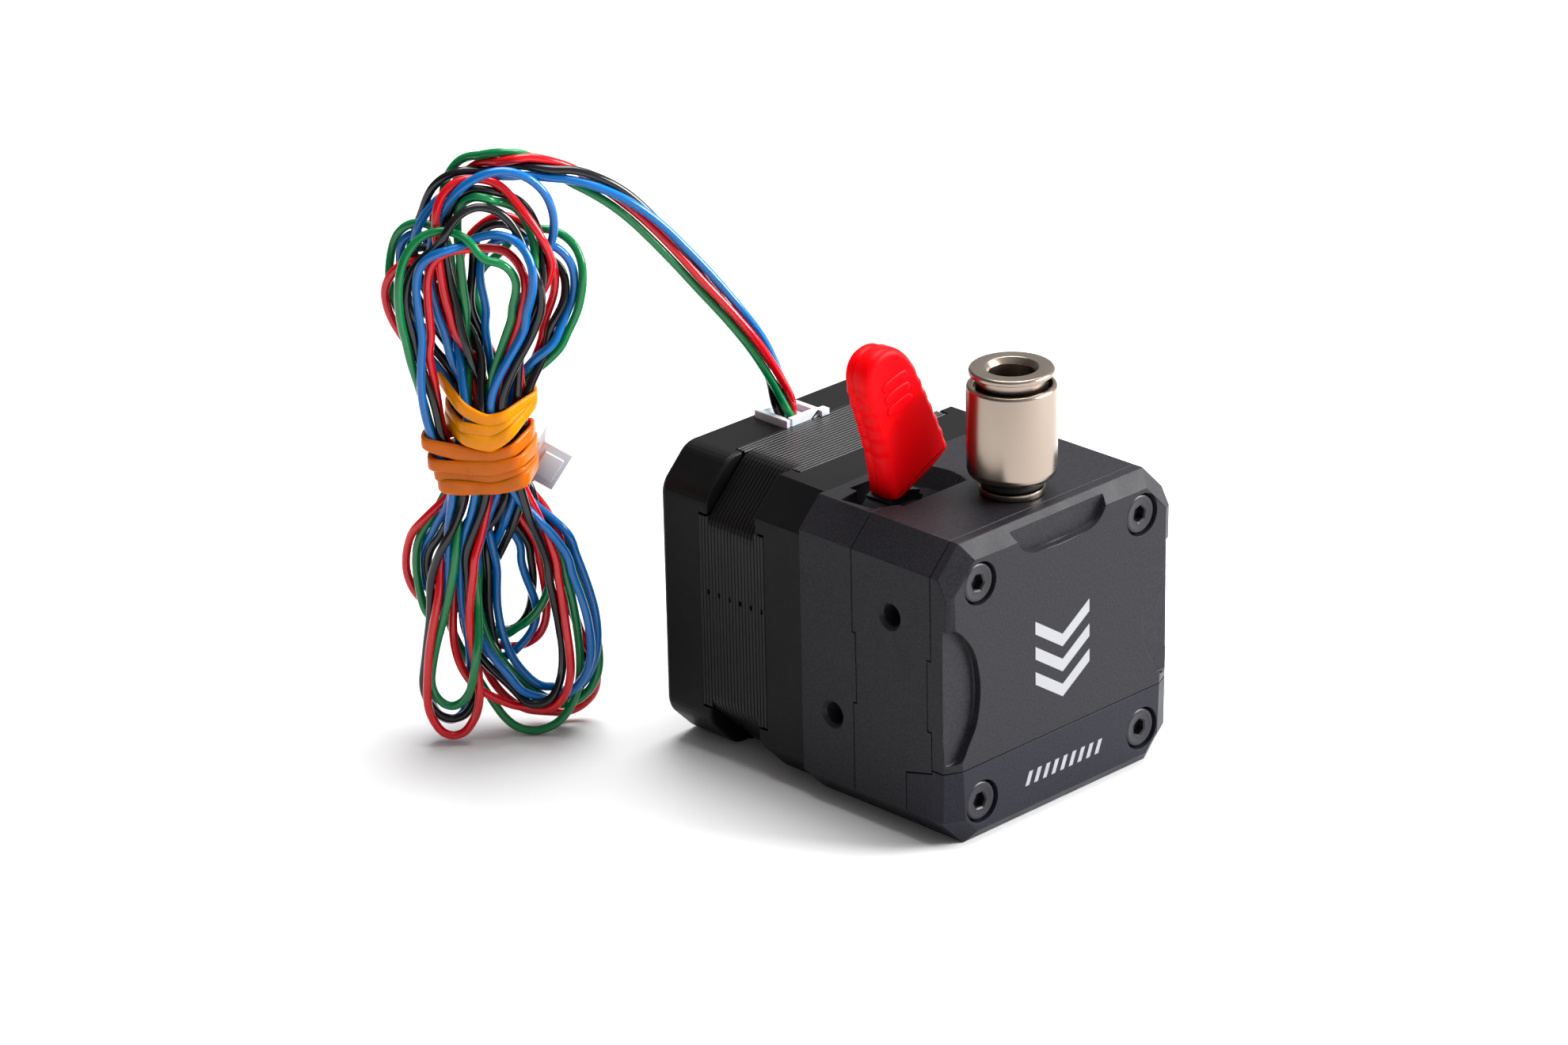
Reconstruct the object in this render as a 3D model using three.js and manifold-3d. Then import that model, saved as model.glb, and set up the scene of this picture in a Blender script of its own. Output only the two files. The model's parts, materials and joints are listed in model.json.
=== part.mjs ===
// A dual-gear filament feeder with its stepper motor, tube fitting, tension lever and motor lead.
// Millimetres, +Z up, -Y is the front. The origin is under the middle of the body, on the ground.
import * as THREE from "three";
import { mergeVertices } from "three/addons/utils/BufferGeometryUtils.js";
import Module from "manifold-3d";

const wasm = await Module();
wasm.setup();

// ---------- driving dimensions ----------
const HALF_WIDTH = 21.5;
const HEIGHT = 42.4;
const HOUSING_CORNER = 3.9;
const MOTOR_HALF = 21.15;
const MOTOR_CORNER = 4.75;
const STATOR_CORNER = 7.5;
const MID_Z = HEIGHT / 2;

// Depths are counted from the front face of the cover, towards the back.
const COVER_BACK = 3.4;
const GEAR_HOUSING_BACK = 17.6;
const HOUSING_BACK = 27.2;
const STATOR_FRONT = 34.2;
const STATOR_BACK = 46.5;
const MOTOR_BACK = 53.8;
const SEAM = 0.12; // the open line between two housings

const SCREW_PITCH = 31;
const SCREW_AT = SCREW_PITCH / 2;
const SCREW_HEAD_R = 2.7;
const SCREW_POCKET_R = 3.0;
const SCREW_R = 1.5;
const SCREW_HOLE_R = 1.7;

const LOWER_PLATE_TOP = 11.2;
const LOWER_EAR_TOP = 9.4;
const LOWER_EAR_DEPTH = 8.0;

// Filament runs straight down at x = 0 in this depth, between the two drive gears.
const FILAMENT_DEPTH = 8.9;
const FILAMENT_BORE_R = 1.1;

const DRIVE_MODULE = 0.8;
const DRIVE_TEETH = 14;
const DRIVE_AXIS_X = (DRIVE_MODULE * DRIVE_TEETH) / 2;
const REDUCTION_MODULE = 0.5;
const PINION_TEETH = 10;
const LARGE_GEAR_TEETH = 33;
const REDUCTION_CENTRES = (REDUCTION_MODULE * (PINION_TEETH + LARGE_GEAR_TEETH)) / 2;
const DRIVE_AXIS_Z = MID_Z - Math.sqrt(REDUCTION_CENTRES ** 2 - DRIVE_AXIS_X ** 2);
const ARM_PIVOT = { x: -6.5, z: 25.5 };
const LEVER_PIVOT = { x: -10, z: 36 };
const LEVER_FRONT = 18.3;
const LEVER_BACK = 23.1;
const LEVER_STEP = 21; // where the lever's smaller back half begins
const LEVER_BACK_SHARE = 0.97;

const at = (depth) => depth - MOTOR_BACK / 2; // depth from the front face, as y

// ---------- materials ----------
const material = (color, roughness, metalness) =>
  new THREE.MeshStandardMaterial({ color, roughness, metalness });
const graphite = () => material(0x3c3c40, 0.5, 0.7);
const blueBlack = () => material(0x2f323a, 0.5, 0.7);
const blackSteel = () => material(0x2a2a2c, 0.45, 0.8);
const brightSteel = () => material(0xb8b8bc, 0.3, 0.9);
const nickel = () => material(0xcabfae, 0.3, 0.95);
const motorBlack = () => material(0x222222, 0.55, 0.4);
const lamination = () => material(0x1c1c1d, 0.5, 0.6);
const copper = () => material(0xb06a3a, 0.4, 0.9);
const redPlastic = () => material(0xe60a16, 0.5, 0);
const whiteNylon = () => material(0xe4e6ea, 0.5, 0);
const blackRubber = () => material(0x111111, 0.8, 0);
const amberRubber = () => material(0xd9821a, 0.5, 0);
const wireRed = () => material(0xd01020, 0.3, 0);

// ---------- shapes ----------
const FINE = 28; // sides of a round that shows
const PLAIN = 20; // sides of a shaft or a small hole
const COARSE = 16; // sides of a round that stays inside
const FIT = 0.06; // the play of a piece pressed on a shaft

function solid(geometry) {
  const bare = geometry.clone();
  bare.deleteAttribute("normal");
  bare.deleteAttribute("uv");
  const merged = mergeVertices(bare, 1e-4);
  const mesh = new wasm.Mesh({
    numProp: 3,
    vertProperties: merged.attributes.position.array,
    triVerts: new Uint32Array(merged.index.array),
  });
  return new wasm.Manifold(mesh);
}

function geometryOf(body) {
  const mesh = body.getMesh();
  const geometry = new THREE.BufferGeometry();
  geometry.setAttribute("position", new THREE.BufferAttribute(mesh.vertProperties, 3));
  geometry.setIndex(new THREE.BufferAttribute(mesh.triVerts, 1));
  const flat = geometry.toNonIndexed();
  flat.computeVertexNormals();
  return flat;
}

const union = (...bodies) => bodies.reduce((all, body) => all.add(body));
const cut = (body, ...tools) => tools.reduce((left, tool) => left.subtract(tool), body);

// A box between two values of x, two depths and two heights.
function box([x0, x1], [d0, d1], [z0, z1]) {
  const geometry = new THREE.BoxGeometry(x1 - x0, d1 - d0, z1 - z0);
  geometry.translate((x0 + x1) / 2, at((d0 + d1) / 2), (z0 + z1) / 2);
  return solid(geometry);
}

// A closed outline of [x, z] points, extruded between two depths.
function prism(outline, d0, d1) {
  const shape = new THREE.Shape(outline.map(([x, z]) => new THREE.Vector2(x, z)));
  const geometry = new THREE.ExtrudeGeometry(shape, { depth: d1 - d0, bevelEnabled: false });
  geometry.rotateX(Math.PI / 2);
  geometry.translate(0, at(d1), 0);
  return solid(geometry);
}

// A round bar along the depth.
function bar(x, z, radius, d0, d1, sides = PLAIN) {
  const geometry = new THREE.CylinderGeometry(radius, radius, d1 - d0, sides);
  geometry.translate(x, at((d0 + d1) / 2), z);
  return solid(geometry);
}

// A ring along the depth.
function ring(x, z, inner, outer, d0, d1, sides = PLAIN) {
  return cut(bar(x, z, outer, d0, d1, sides), bar(x, z, inner, d0 - 1, d1 + 1, sides));
}

// A profile of [radius, height] points turned about a vertical axis.
function turned(profile, x, depth, sides = FINE) {
  const points = profile.map(([r, h]) => new THREE.Vector2(r, h));
  const geometry = new THREE.LatheGeometry(points, sides);
  geometry.rotateX(Math.PI / 2);
  geometry.translate(x, at(depth), 0);
  return solid(geometry);
}

// A round bar across the width.
function crossBar(x0, x1, depth, z, r0, r1 = r0, sides = PLAIN) {
  const geometry = new THREE.CylinderGeometry(r1, r0, x1 - x0, sides);
  geometry.rotateZ(-Math.PI / 2);
  geometry.translate((x0 + x1) / 2, at(depth), z);
  return solid(geometry);
}

// A rectangle about the body's middle line, with its four corners cut at 45 degrees.
function cutCorners(halfX, halfZ, corner) {
  const lowX = halfX - corner;
  const lowZ = halfZ - corner;
  return [
    [lowX, MID_Z - halfZ],
    [halfX, MID_Z - lowZ],
    [halfX, MID_Z + lowZ],
    [lowX, MID_Z + halfZ],
    [-lowX, MID_Z + halfZ],
    [-halfX, MID_Z + lowZ],
    [-halfX, MID_Z - lowZ],
    [-lowX, MID_Z - halfZ],
  ];
}

const HOUSING_OUTLINE = cutCorners(HALF_WIDTH, HEIGHT / 2, HOUSING_CORNER);
const MOTOR_OUTLINE = cutCorners(MOTOR_HALF, MOTOR_HALF, MOTOR_CORNER);
const STATOR_OUTLINE = cutCorners(MOTOR_HALF, MOTOR_HALF, STATOR_CORNER);

function circlePoints(x, z, radius, start, end, count) {
  const points = [];
  for (let i = 0; i <= count; i++) {
    const angle = start + ((end - start) * i) / count;
    points.push([x + radius * Math.cos(angle), z + radius * Math.sin(angle)]);
  }
  return points;
}

// Everything on the far side of a plane, as one large block to cut with.
function beyondPlane(point, normal) {
  const size = 200;
  const geometry = new THREE.BoxGeometry(size, size, size);
  geometry.translate(0, 0, size / 2);
  const direction = new THREE.Vector3(...normal).normalize();
  const turn = new THREE.Quaternion().setFromUnitVectors(new THREE.Vector3(0, 0, 1), direction);
  geometry.applyQuaternion(turn);
  geometry.translate(point[0], at(point[1]), point[2]);
  return solid(geometry);
}

// The normal of the plane through three [x, depth, z] points, on the side of the hint.
function planeNormal(a, b, c, hint) {
  const ab = new THREE.Vector3(...b).sub(new THREE.Vector3(...a));
  const ac = new THREE.Vector3(...c).sub(new THREE.Vector3(...a));
  const normal = ab.cross(ac);
  if (normal.dot(new THREE.Vector3(...hint)) < 0) normal.negate();
  return normal.toArray();
}

const involute = (angle) => Math.tan(angle) - angle;

// A spur gear's outline, with one tooth centred on the given angle.
function gearOutline({ module, teeth, centre, toothAngle, slack, addendum = 1 }) {
  const pressure = (20 * Math.PI) / 180;
  const pitchR = (module * teeth) / 2;
  const baseR = pitchR * Math.cos(pressure);
  const rootR = pitchR - 1.25 * module;
  const tipR = pitchR + addendum * module;
  const flankSteps = 2;
  const halfAngle = (radius) => {
    const atPitch = Math.PI / (2 * teeth) - slack / (2 * pitchR) + involute(pressure);
    return atPitch - involute(Math.acos(Math.min(1, baseR / radius)));
  };
  const flank = [];
  if (rootR < baseR) flank.push([rootR, halfAngle(baseR)]);
  const flankStart = Math.max(rootR, baseR);
  for (let i = 0; i <= flankSteps; i++) {
    const radius = flankStart + ((tipR - flankStart) * i) / flankSteps;
    flank.push([radius, halfAngle(radius)]);
  }
  const points = [];
  const put = (radius, angle) =>
    points.push([centre.x + radius * Math.cos(angle), centre.z + radius * Math.sin(angle)]);
  for (let tooth = 0; tooth < teeth; tooth++) {
    const middle = toothAngle + (2 * Math.PI * tooth) / teeth;
    for (const [radius, half] of flank) put(radius, middle - half);
    for (const [radius, half] of [...flank].reverse()) put(radius, middle + half);
  }
  return points;
}

const root = new THREE.Group();
function part(name, body, finish) {
  const mesh = new THREE.Mesh(geometryOf(body), finish);
  mesh.name = name;
  root.add(mesh);
}

const SCREW_PLACES = [
  [-SCREW_AT, MID_Z + SCREW_AT],
  [SCREW_AT, MID_Z + SCREW_AT],
  [SCREW_AT, MID_Z - SCREW_AT],
  [-SCREW_AT, MID_Z - SCREW_AT],
];
const TOP_SCREWS = SCREW_PLACES.slice(0, 2);
const LOWER_SCREWS = SCREW_PLACES.slice(2);

// ---------- cover and lower plate ----------
const FRONT_TOP = 40.2; // top edge of the flat front face
const FRONT_BOTTOM = 1.8;
const TOP_BEVEL_DEPTH = 1.9;
const BOTTOM_BEVEL_DEPTH = 1.5;

// The slanting planes that trim the cover and the lower plate towards the flat front face.
function bevelTools() {
  const tools = [];
  tools.push(beyondPlane([0, 0, FRONT_TOP], [0, FRONT_TOP - HEIGHT, TOP_BEVEL_DEPTH]));
  tools.push(beyondPlane([0, 0, FRONT_BOTTOM], [0, -FRONT_BOTTOM, -BOTTOM_BEVEL_DEPTH]));
  for (const side of [-1, 1]) {
    const upperSide = [side * HALF_WIDTH, 0.6, 35.8];
    const upperFront = [side * 20.3, 0, 35.8];
    const lowerSide = [side * HALF_WIDTH, 1.25, 11];
    const sideNormal = planeNormal(upperSide, upperFront, lowerSide, [side, -1, 0]);
    tools.push(beyondPlane(upperSide, sideNormal));
    const cornerTop = [side * 17.6, TOP_BEVEL_DEPTH, HEIGHT];
    const cornerFront = [side * 16.4, 0, FRONT_TOP];
    const cornerSide = [side * HALF_WIDTH, TOP_BEVEL_DEPTH, HEIGHT - HOUSING_CORNER];
    const cornerNormal = planeNormal(cornerTop, cornerFront, cornerSide, [side, -1, 1]);
    tools.push(beyondPlane(cornerTop, cornerNormal));
    const footTop = [side * 17.6, BOTTOM_BEVEL_DEPTH, 0];
    const footFront = [side * 16.3, 0, FRONT_BOTTOM];
    const footSide = [side * HALF_WIDTH, BOTTOM_BEVEL_DEPTH, HOUSING_CORNER];
    tools.push(beyondPlane(footTop, planeNormal(footTop, footFront, footSide, [side, -1, -1])));
  }
  return tools;
}

function screwPockets(places) {
  return places.flatMap(([x, z]) => [
    bar(x, z, SCREW_POCKET_R, -1, 2.5, FINE),
    bar(x, z, SCREW_HOLE_R, 2, COVER_BACK + 1),
  ]);
}

const TONGUE = 0.7; // how far a side wall's middle stretch steps past the seam
const TONGUE_Z = [16.6, 26.6];
const WALL = 3;

function sideTongues(d0, d1, margin = 0) {
  const heights = [TONGUE_Z[0] - margin, TONGUE_Z[1] + margin];
  return [
    box([-HALF_WIDTH - margin, -HALF_WIDTH + WALL + margin], [d0, d1], heights),
    box([HALF_WIDTH - WALL - margin, HALF_WIDTH + margin], [d0, d1], heights),
  ];
}

function frontCover() {
  const pocketDepth = 1.1;
  const upperPocket = [
    [-9.2, 43],
    [-8.2, 40.4],
    [-5.2, 38],
    [5.2, 38],
    [8.2, 40.4],
    [9.2, 43],
  ];
  const sidePocket = [
    [-24, 31.2],
    [-20.2, 31.2],
    [-18.3, 29.4],
    [-16.9, 27.2],
    [-16.2, 24.6],
    [-16.1, 19.6],
    [-16.6, 17.2],
    [-17.9, 14.9],
    [-19.4, 12.7],
    [-24, 12.7],
  ];
  const mirrored = sidePocket.map(([x, z]) => [-x, z]).reverse();
  const slab = prism(HOUSING_OUTLINE, 0, COVER_BACK - SEAM);
  const body = cut(
    union(slab, ...sideTongues(COVER_BACK - 1, COVER_BACK - SEAM + TONGUE)),
    box([-30, 30], [-5, 10], [-5, LOWER_PLATE_TOP]),
    ...bevelTools(),
    prism(upperPocket, -1, pocketDepth),
    prism(sidePocket, -1, pocketDepth),
    prism(mirrored, -1, pocketDepth),
    ...screwPockets(TOP_SCREWS),
  );
  part("front_cover", body, graphite());
}

// The side ears' top edge slopes down towards the back.
function earBlock(margin) {
  const ear = (x0, x1) => {
    const shape = new THREE.Shape([
      new THREE.Vector2(at(0), -margin),
      new THREE.Vector2(at(LOWER_EAR_DEPTH + margin), -margin),
      new THREE.Vector2(at(LOWER_EAR_DEPTH + margin), LOWER_EAR_TOP + margin),
      new THREE.Vector2(at(1.25), LOWER_PLATE_TOP - SEAM + margin),
      new THREE.Vector2(at(0), LOWER_PLATE_TOP - SEAM + margin),
    ]);
    const geometry = new THREE.ExtrudeGeometry(shape, { depth: x1 - x0, bevelEnabled: false });
    geometry.rotateX(Math.PI / 2);
    geometry.rotateZ(Math.PI / 2);
    geometry.translate(x0, 0, 0);
    return solid(geometry);
  };
  const inner = 17.5 - margin;
  return union(
    ear(-HALF_WIDTH - margin, -inner),
    ear(inner, HALF_WIDTH + margin),
    box([-20, 20], [0, 6.2 + margin], [-margin, 3.2 + margin]),
  );
}

function lowerFrontPlate() {
  const top = LOWER_PLATE_TOP - SEAM;
  const slab = prism(HOUSING_OUTLINE, 0, COVER_BACK - SEAM);
  const plate = cut(slab, box([-30, 30], [-5, 20], [top, 60]));
  const whole = union(plate, earBlock(0)).intersect(prism(HOUSING_OUTLINE, 0, LOWER_EAR_DEPTH));
  const body = cut(whole, ...bevelTools(), ...screwPockets(LOWER_SCREWS));
  part("lower_front_plate", body, blueBlack());
}

function coverScrews() {
  SCREW_PLACES.forEach(([x, z], index) => {
    const head = bar(x, z, SCREW_HEAD_R, 0.3, 2.3, FINE);
    const shank = bar(x, z, SCREW_R, 2.2, 30.5, COARSE);
    const socket = bar(x, z, 1.2, -1, 1.7, 6);
    part(`cover_screw_${index + 1}`, cut(union(head, shank), socket), blackSteel());
  });
}

// ---------- housings ----------
const SIDE_HOLE_FRONT = { depth: 10.6, z: 30.9 };
const SIDE_HOLE_REAR = { depth: 21.4, z: 13.6 };

function sideHoles({ depth, z }) {
  const tools = [];
  for (const side of [-1, 1]) {
    const ends = (near, far) => (side < 0 ? [-far, -near] : [near, far]);
    tools.push(crossBar(...ends(HALF_WIDTH - 3.2, HALF_WIDTH + 1), depth, z, SCREW_R));
    const wide = 2.7;
    const narrow = 1.2;
    const cone = side < 0 ? [wide, narrow] : [narrow, wide];
    tools.push(crossBar(...ends(HALF_WIDTH - 0.8, HALF_WIDTH + 0.7), depth, z, ...cone));
  }
  return tools;
}

// The well round the lever: a dish on the right, a shallow step on the left, a bore for its hub.
const HUB_R = 3.4;
const CHEEK_R = 5.3;
const WELL_FRONT = 15.9;
const WELL_BACK = 25.4;

function leverWell() {
  const dish = turned(
    [
      [0, 37.6],
      [5.9, 37.6],
      [8.2, 39.8],
      [10.2, 43],
      [0, 43],
    ],
    -10.2,
    19.9,
  );
  const dishPart = dish.intersect(box([-13.3, 0.5], [WELL_FRONT, WELL_BACK], [30, 50]));
  const step = prismUp(
    [
      [-17.2, 23.4],
      [-16.5, 18.3],
      [-13.2, 16.6],
      [-12, 16.6],
      [-12, WELL_BACK],
      [-13.6, WELL_BACK],
      [-13.6, 24],
    ],
    39.9,
    HEIGHT + 1,
  );
  const hub = bar(LEVER_PIVOT.x, LEVER_PIVOT.z, HUB_R + 0.3, WELL_FRONT + 0.2, WELL_BACK - 0.2, FINE);
  return [dishPart, step, hub];
}

// A closed outline of [x, depth] points, extruded between two heights.
function prismUp(outline, z0, z1) {
  const shape = new THREE.Shape(outline.map(([x, depth]) => new THREE.Vector2(x, at(depth))));
  const geometry = new THREE.ExtrudeGeometry(shape, { depth: z1 - z0, bevelEnabled: false });
  geometry.translate(0, 0, z0);
  return solid(geometry);
}

const CAVITY_BACK = 15.5;
const SHAFT_BEARING_R = 4.1;
const ARM_PIN_R = 1.5;
const GUIDE_BORE_R = 2.15;
const GUIDE_TOP = 35.2;
const GUIDE_BOTTOM = 6;
const FITTING_SOCKET_R = 4.15;
const SPRING_Z = 14.5;
const SPRING_POCKET_R = 2.7;

// A plain vertical hole round the filament's path.
function filamentHole(radius, z0, z1, sides = FINE) {
  return turned([[0, z0], [radius, z0], [radius, z1], [0, z1]], 0, FILAMENT_DEPTH, sides);
}

function gearHousing() {
  const cavity = [
    [-13.2, 4.4],
    [12.6, 4.4],
    [12.6, 19.2],
    [-3.2, 19.2],
    [-3.2, 31],
    [-4.6, 31],
    [-4.6, 34.6],
    [-6, 34.6],
    [-6, 39.4],
    [-13.2, 39.4],
    [-13.2, 31.5],
    [-17.2, 31.5],
    [-17.2, 8.2],
    [-13.2, 8.2],
  ];
  const block = prism(HOUSING_OUTLINE, COVER_BACK, GEAR_HOUSING_BACK - SEAM);
  const body = cut(
    block,
    ...sideTongues(COVER_BACK - 1, COVER_BACK + TONGUE, SEAM),
    ...sideTongues(GEAR_HOUSING_BACK - TONGUE, GEAR_HOUSING_BACK + 1, SEAM),
    earBlock(SEAM),
    prism(cavity, COVER_BACK - 1, CAVITY_BACK),
    bar(DRIVE_AXIS_X, DRIVE_AXIS_Z, SHAFT_BEARING_R, CAVITY_BACK - 0.5, GEAR_HOUSING_BACK + 1),
    bar(LEVER_PIVOT.x, LEVER_PIVOT.z, 2.2, CAVITY_BACK - 0.5, WELL_FRONT + 1),
    bar(ARM_PIVOT.x, ARM_PIVOT.z, ARM_PIN_R + 0.05, CAVITY_BACK - 0.5, 16.8),
    crossBar(-19.8, -16, FILAMENT_DEPTH, SPRING_Z, SPRING_POCKET_R),
    filamentHole(GUIDE_BORE_R, 15, GUIDE_TOP, PLAIN),
    filamentHole(FITTING_SOCKET_R, GUIDE_TOP - 0.3, 45),
    filamentHole(GUIDE_BORE_R, -1, GUIDE_BOTTOM, PLAIN),
    ...SCREW_PLACES.map(([x, z]) => bar(x, z, SCREW_HOLE_R, 0, 30)),
    ...sideHoles(SIDE_HOLE_FRONT),
    ...leverWell(),
  );
  part("gear_housing", body, graphite());
}

function rearHousing() {
  const block = prism(HOUSING_OUTLINE, GEAR_HOUSING_BACK, HOUSING_BACK - SEAM);
  const body = cut(
    union(block, ...sideTongues(GEAR_HOUSING_BACK - TONGUE + SEAM, GEAR_HOUSING_BACK + 1)),
    bar(DRIVE_AXIS_X, DRIVE_AXIS_Z, 9.4, GEAR_HOUSING_BACK - 1, 24.6, FINE),
    bar(0, MID_Z, 3.8, GEAR_HOUSING_BACK - 1, 26),
    bar(0, MID_Z, 11.2, 25.1, HOUSING_BACK + 1, FINE),
    bar(LEVER_PIVOT.x, LEVER_PIVOT.z, 1.7, 24, 26.4),
    ...SCREW_PLACES.map(([x, z]) => bar(x, z, SCREW_HOLE_R, 10, 30)),
    ...sideHoles(SIDE_HOLE_REAR),
    ...leverWell(),
  );
  part("rear_housing", body, graphite());
}

// ---------- feed mechanism ----------
const HOB_FRONT = FILAMENT_DEPTH - 2.1;
const HOB_BACK = FILAMENT_DEPTH + 2.1;
const TEETH_BACK = 13.6;
const SHAFT_R = 2.5;
const DRIVE_SLACK = 0.15; // each tooth is this much thinner than half a pitch

// A grooved wheel beside a spur gear, turned about its own axis along the depth.
function feedWheel(x, z, toothAngle, boreR) {
  const hobR = 4.75;
  const grooveR = 4.3;
  const half = (HOB_BACK - HOB_FRONT) / 2;
  const profile = [
    [boreR, -half],
    [hobR, -half],
    [hobR, -1.1],
    [grooveR, -0.5],
    [grooveR, 0.5],
    [hobR, 1.1],
    [hobR, half],
    [boreR, half],
    [boreR, -half],
  ];
  const geometry = new THREE.LatheGeometry(
    profile.map(([r, h]) => new THREE.Vector2(r, h)),
    PLAIN,
  );
  geometry.translate(x, at(FILAMENT_DEPTH), z);
  const outline = gearOutline({
    module: DRIVE_MODULE,
    teeth: DRIVE_TEETH,
    centre: { x, z },
    toothAngle,
    slack: DRIVE_SLACK,
    addendum: 0.9,
  });
  const teeth = cut(prism(outline, HOB_BACK - 0.05, TEETH_BACK), bar(x, z, boreR, 10, 15));
  return union(solid(geometry), teeth);
}

function driveSet() {
  const x = DRIVE_AXIS_X;
  const z = DRIVE_AXIS_Z;
  part("drive_shaft", bar(x, z, SHAFT_R, 3.8, 23.4), brightSteel());
  part("drive_gear", feedWheel(x, z, Math.PI, SHAFT_R + FIT), blackSteel());
  const towardsPinion = Math.atan2(MID_Z - z, -x);
  const outline = gearOutline({
    module: REDUCTION_MODULE,
    teeth: LARGE_GEAR_TEETH,
    centre: { x, z },
    toothAngle: towardsPinion + Math.PI / LARGE_GEAR_TEETH,
    slack: 0.12,
    addendum: 0.8,
  });
  const web = prism(outline, 18.4, 22.4);
  const relief = cut(bar(x, z, 6.8, 20.9, 23), bar(x, z, 4.2, 20, 24));
  part("transmission_gear", cut(web, relief, bar(x, z, SHAFT_R + FIT, 18, 23)), whiteNylon());
  const plate = cut(box([-0.6, 12.3], [3.7, 6], [4.7, 19]), bar(x, z, SHAFT_BEARING_R, 3, 7));
  part("bearing_plate", plate, brightSteel());
  part("drive_bearing_front", ring(x, z, SHAFT_R + 0.05, 4, 3.8, 6.1), brightSteel());
  part("drive_bearing_rear", ring(x, z, SHAFT_R + 0.05, 4, 15.3, 17.5), brightSteel());
}

function idlerSet() {
  const x = -DRIVE_AXIS_X;
  const z = DRIVE_AXIS_Z;
  const outline = [
    [-5.6, 9],
    [-12.4, 8.6],
    [-15, 9.8],
    [-15, 20],
    [-10.6, 28.4],
    [-8.8, 29.2],
    [-7.6, 30.6],
    [-7.6, 34],
    [-5.7, 34],
    [-5.3, 28.4],
    [-3.8, 26.6],
    [-3.8, 24.4],
    [-2.6, 12.6],
    [-3.4, 10],
  ].reverse();
  const arm = cut(
    prism(outline, 4.4, 15.2),
    bar(x, z, 6.9, HOB_FRONT - 0.4, TEETH_BACK + 0.25, FINE),
    bar(x, z, 1.6, 0, 20),
    bar(ARM_PIVOT.x, ARM_PIVOT.z, ARM_PIN_R + 0.15, 0, 20),
  );
  part("idler_arm", arm, blackSteel());
  part("idler_axle", bar(x, z, 1.55, 4.5, 15.1), brightSteel());
  part("idler_gear", feedWheel(x, z, Math.PI / DRIVE_TEETH, 1.75), blackSteel());
  part("arm_pivot_pin", bar(ARM_PIVOT.x, ARM_PIVOT.z, ARM_PIN_R, 3.6, 16.6), brightSteel());
  part("upper_filament_guide", guide(19.5, 33.9), brightSteel());
  part("lower_filament_guide", guide(0.4, 7.4), brightSteel());
}

function guide(z0, z1) {
  const profile = [
    [FILAMENT_BORE_R, z0],
    [2, z0],
    [2, z1],
    [FILAMENT_BORE_R, z1],
    [FILAMENT_BORE_R, z0],
  ];
  return turned(profile, 0, FILAMENT_DEPTH, 20);
}

// A compression spring across the width, between the side wall and the arm.
function tensionSpring() {
  const turns = 3.5;
  const wire = 0.35;
  const coilR = 2;
  const x0 = -19.3;
  const x1 = -15.5;
  class Helix extends THREE.Curve {
    getPoint(t, target = new THREE.Vector3()) {
      const angle = 2 * Math.PI * turns * t;
      const across = at(FILAMENT_DEPTH) + coilR * Math.cos(angle);
      return target.set(x0 + (x1 - x0) * t, across, SPRING_Z + coilR * Math.sin(angle));
    }
  }
  const section = new THREE.Shape();
  section.absarc(0, 0, wire, 0, 2 * Math.PI, false);
  const options = { steps: 42, extrudePath: new Helix(), bevelEnabled: false, curveSegments: 4 };
  part("tension_spring", solid(new THREE.ExtrudeGeometry(section, options)), brightSteel());
}

// ---------- lever ----------
function lever() {
  const { x, z } = LEVER_PIVOT;
  const hub = bar(x, z, HUB_R, WELL_FRONT + 0.5, WELL_BACK - 0.5);
  const cheekArc = circlePoints(x, z, CHEEK_R, Math.PI * 0.27, Math.PI * 0.68, 8);
  const cheek = prism([[x, z], ...cheekArc], 17.4, 22.6);
  const shaft = bar(x, z, 2, 6.2, WELL_FRONT + 1);
  const trunnion = bar(x, z, 1.5, WELL_BACK - 1, 26.2);
  const lobe = bar(x + 0.56, z + 0.2, 2.4, 6.2, 12.4);
  const seat = box([-11.7, -8.3], [18.9, 22.3], [37, 42]);
  part("lever_cam", cut(union(hub, cheek, shaft, trunnion, lobe), seat), blackSteel());

  const blade = [
    [-12.1, 43.4],
    [-11.2, 42.7],
    [-9.4, 43.1],
    [-2.6, 45.7],
    [-2, 46.4],
    [-2.1, 47.6],
    [-3.9, 51.7],
    [-5.9, 55.9],
    [-7.8, 59.7],
    [-9.7, 62.2],
    [-12, 63.5],
    [-14.3, 63.4],
    [-16.2, 62.2],
    [-17, 60.2],
    [-17.1, 58.2],
    [-16.6, 55.9],
    [-13.9, 48.6],
  ];
  const middle = [-9.6, 52];
  const smaller = blade.map(([x, z]) => [
    middle[0] + (x - middle[0]) * LEVER_BACK_SHARE,
    middle[1] + (z - middle[1]) * LEVER_BACK_SHARE,
  ]);
  const frontHalf = prism(blade, LEVER_FRONT, LEVER_STEP);
  const backHalf = prism(smaller, LEVER_STEP - 1, LEVER_BACK);
  const tang = box([-11.4, -8.6], [19.2, 22], [37.3, 44.4]);
  part("release_lever", union(frontHalf, backHalf, tang), redPlastic());
}

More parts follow.
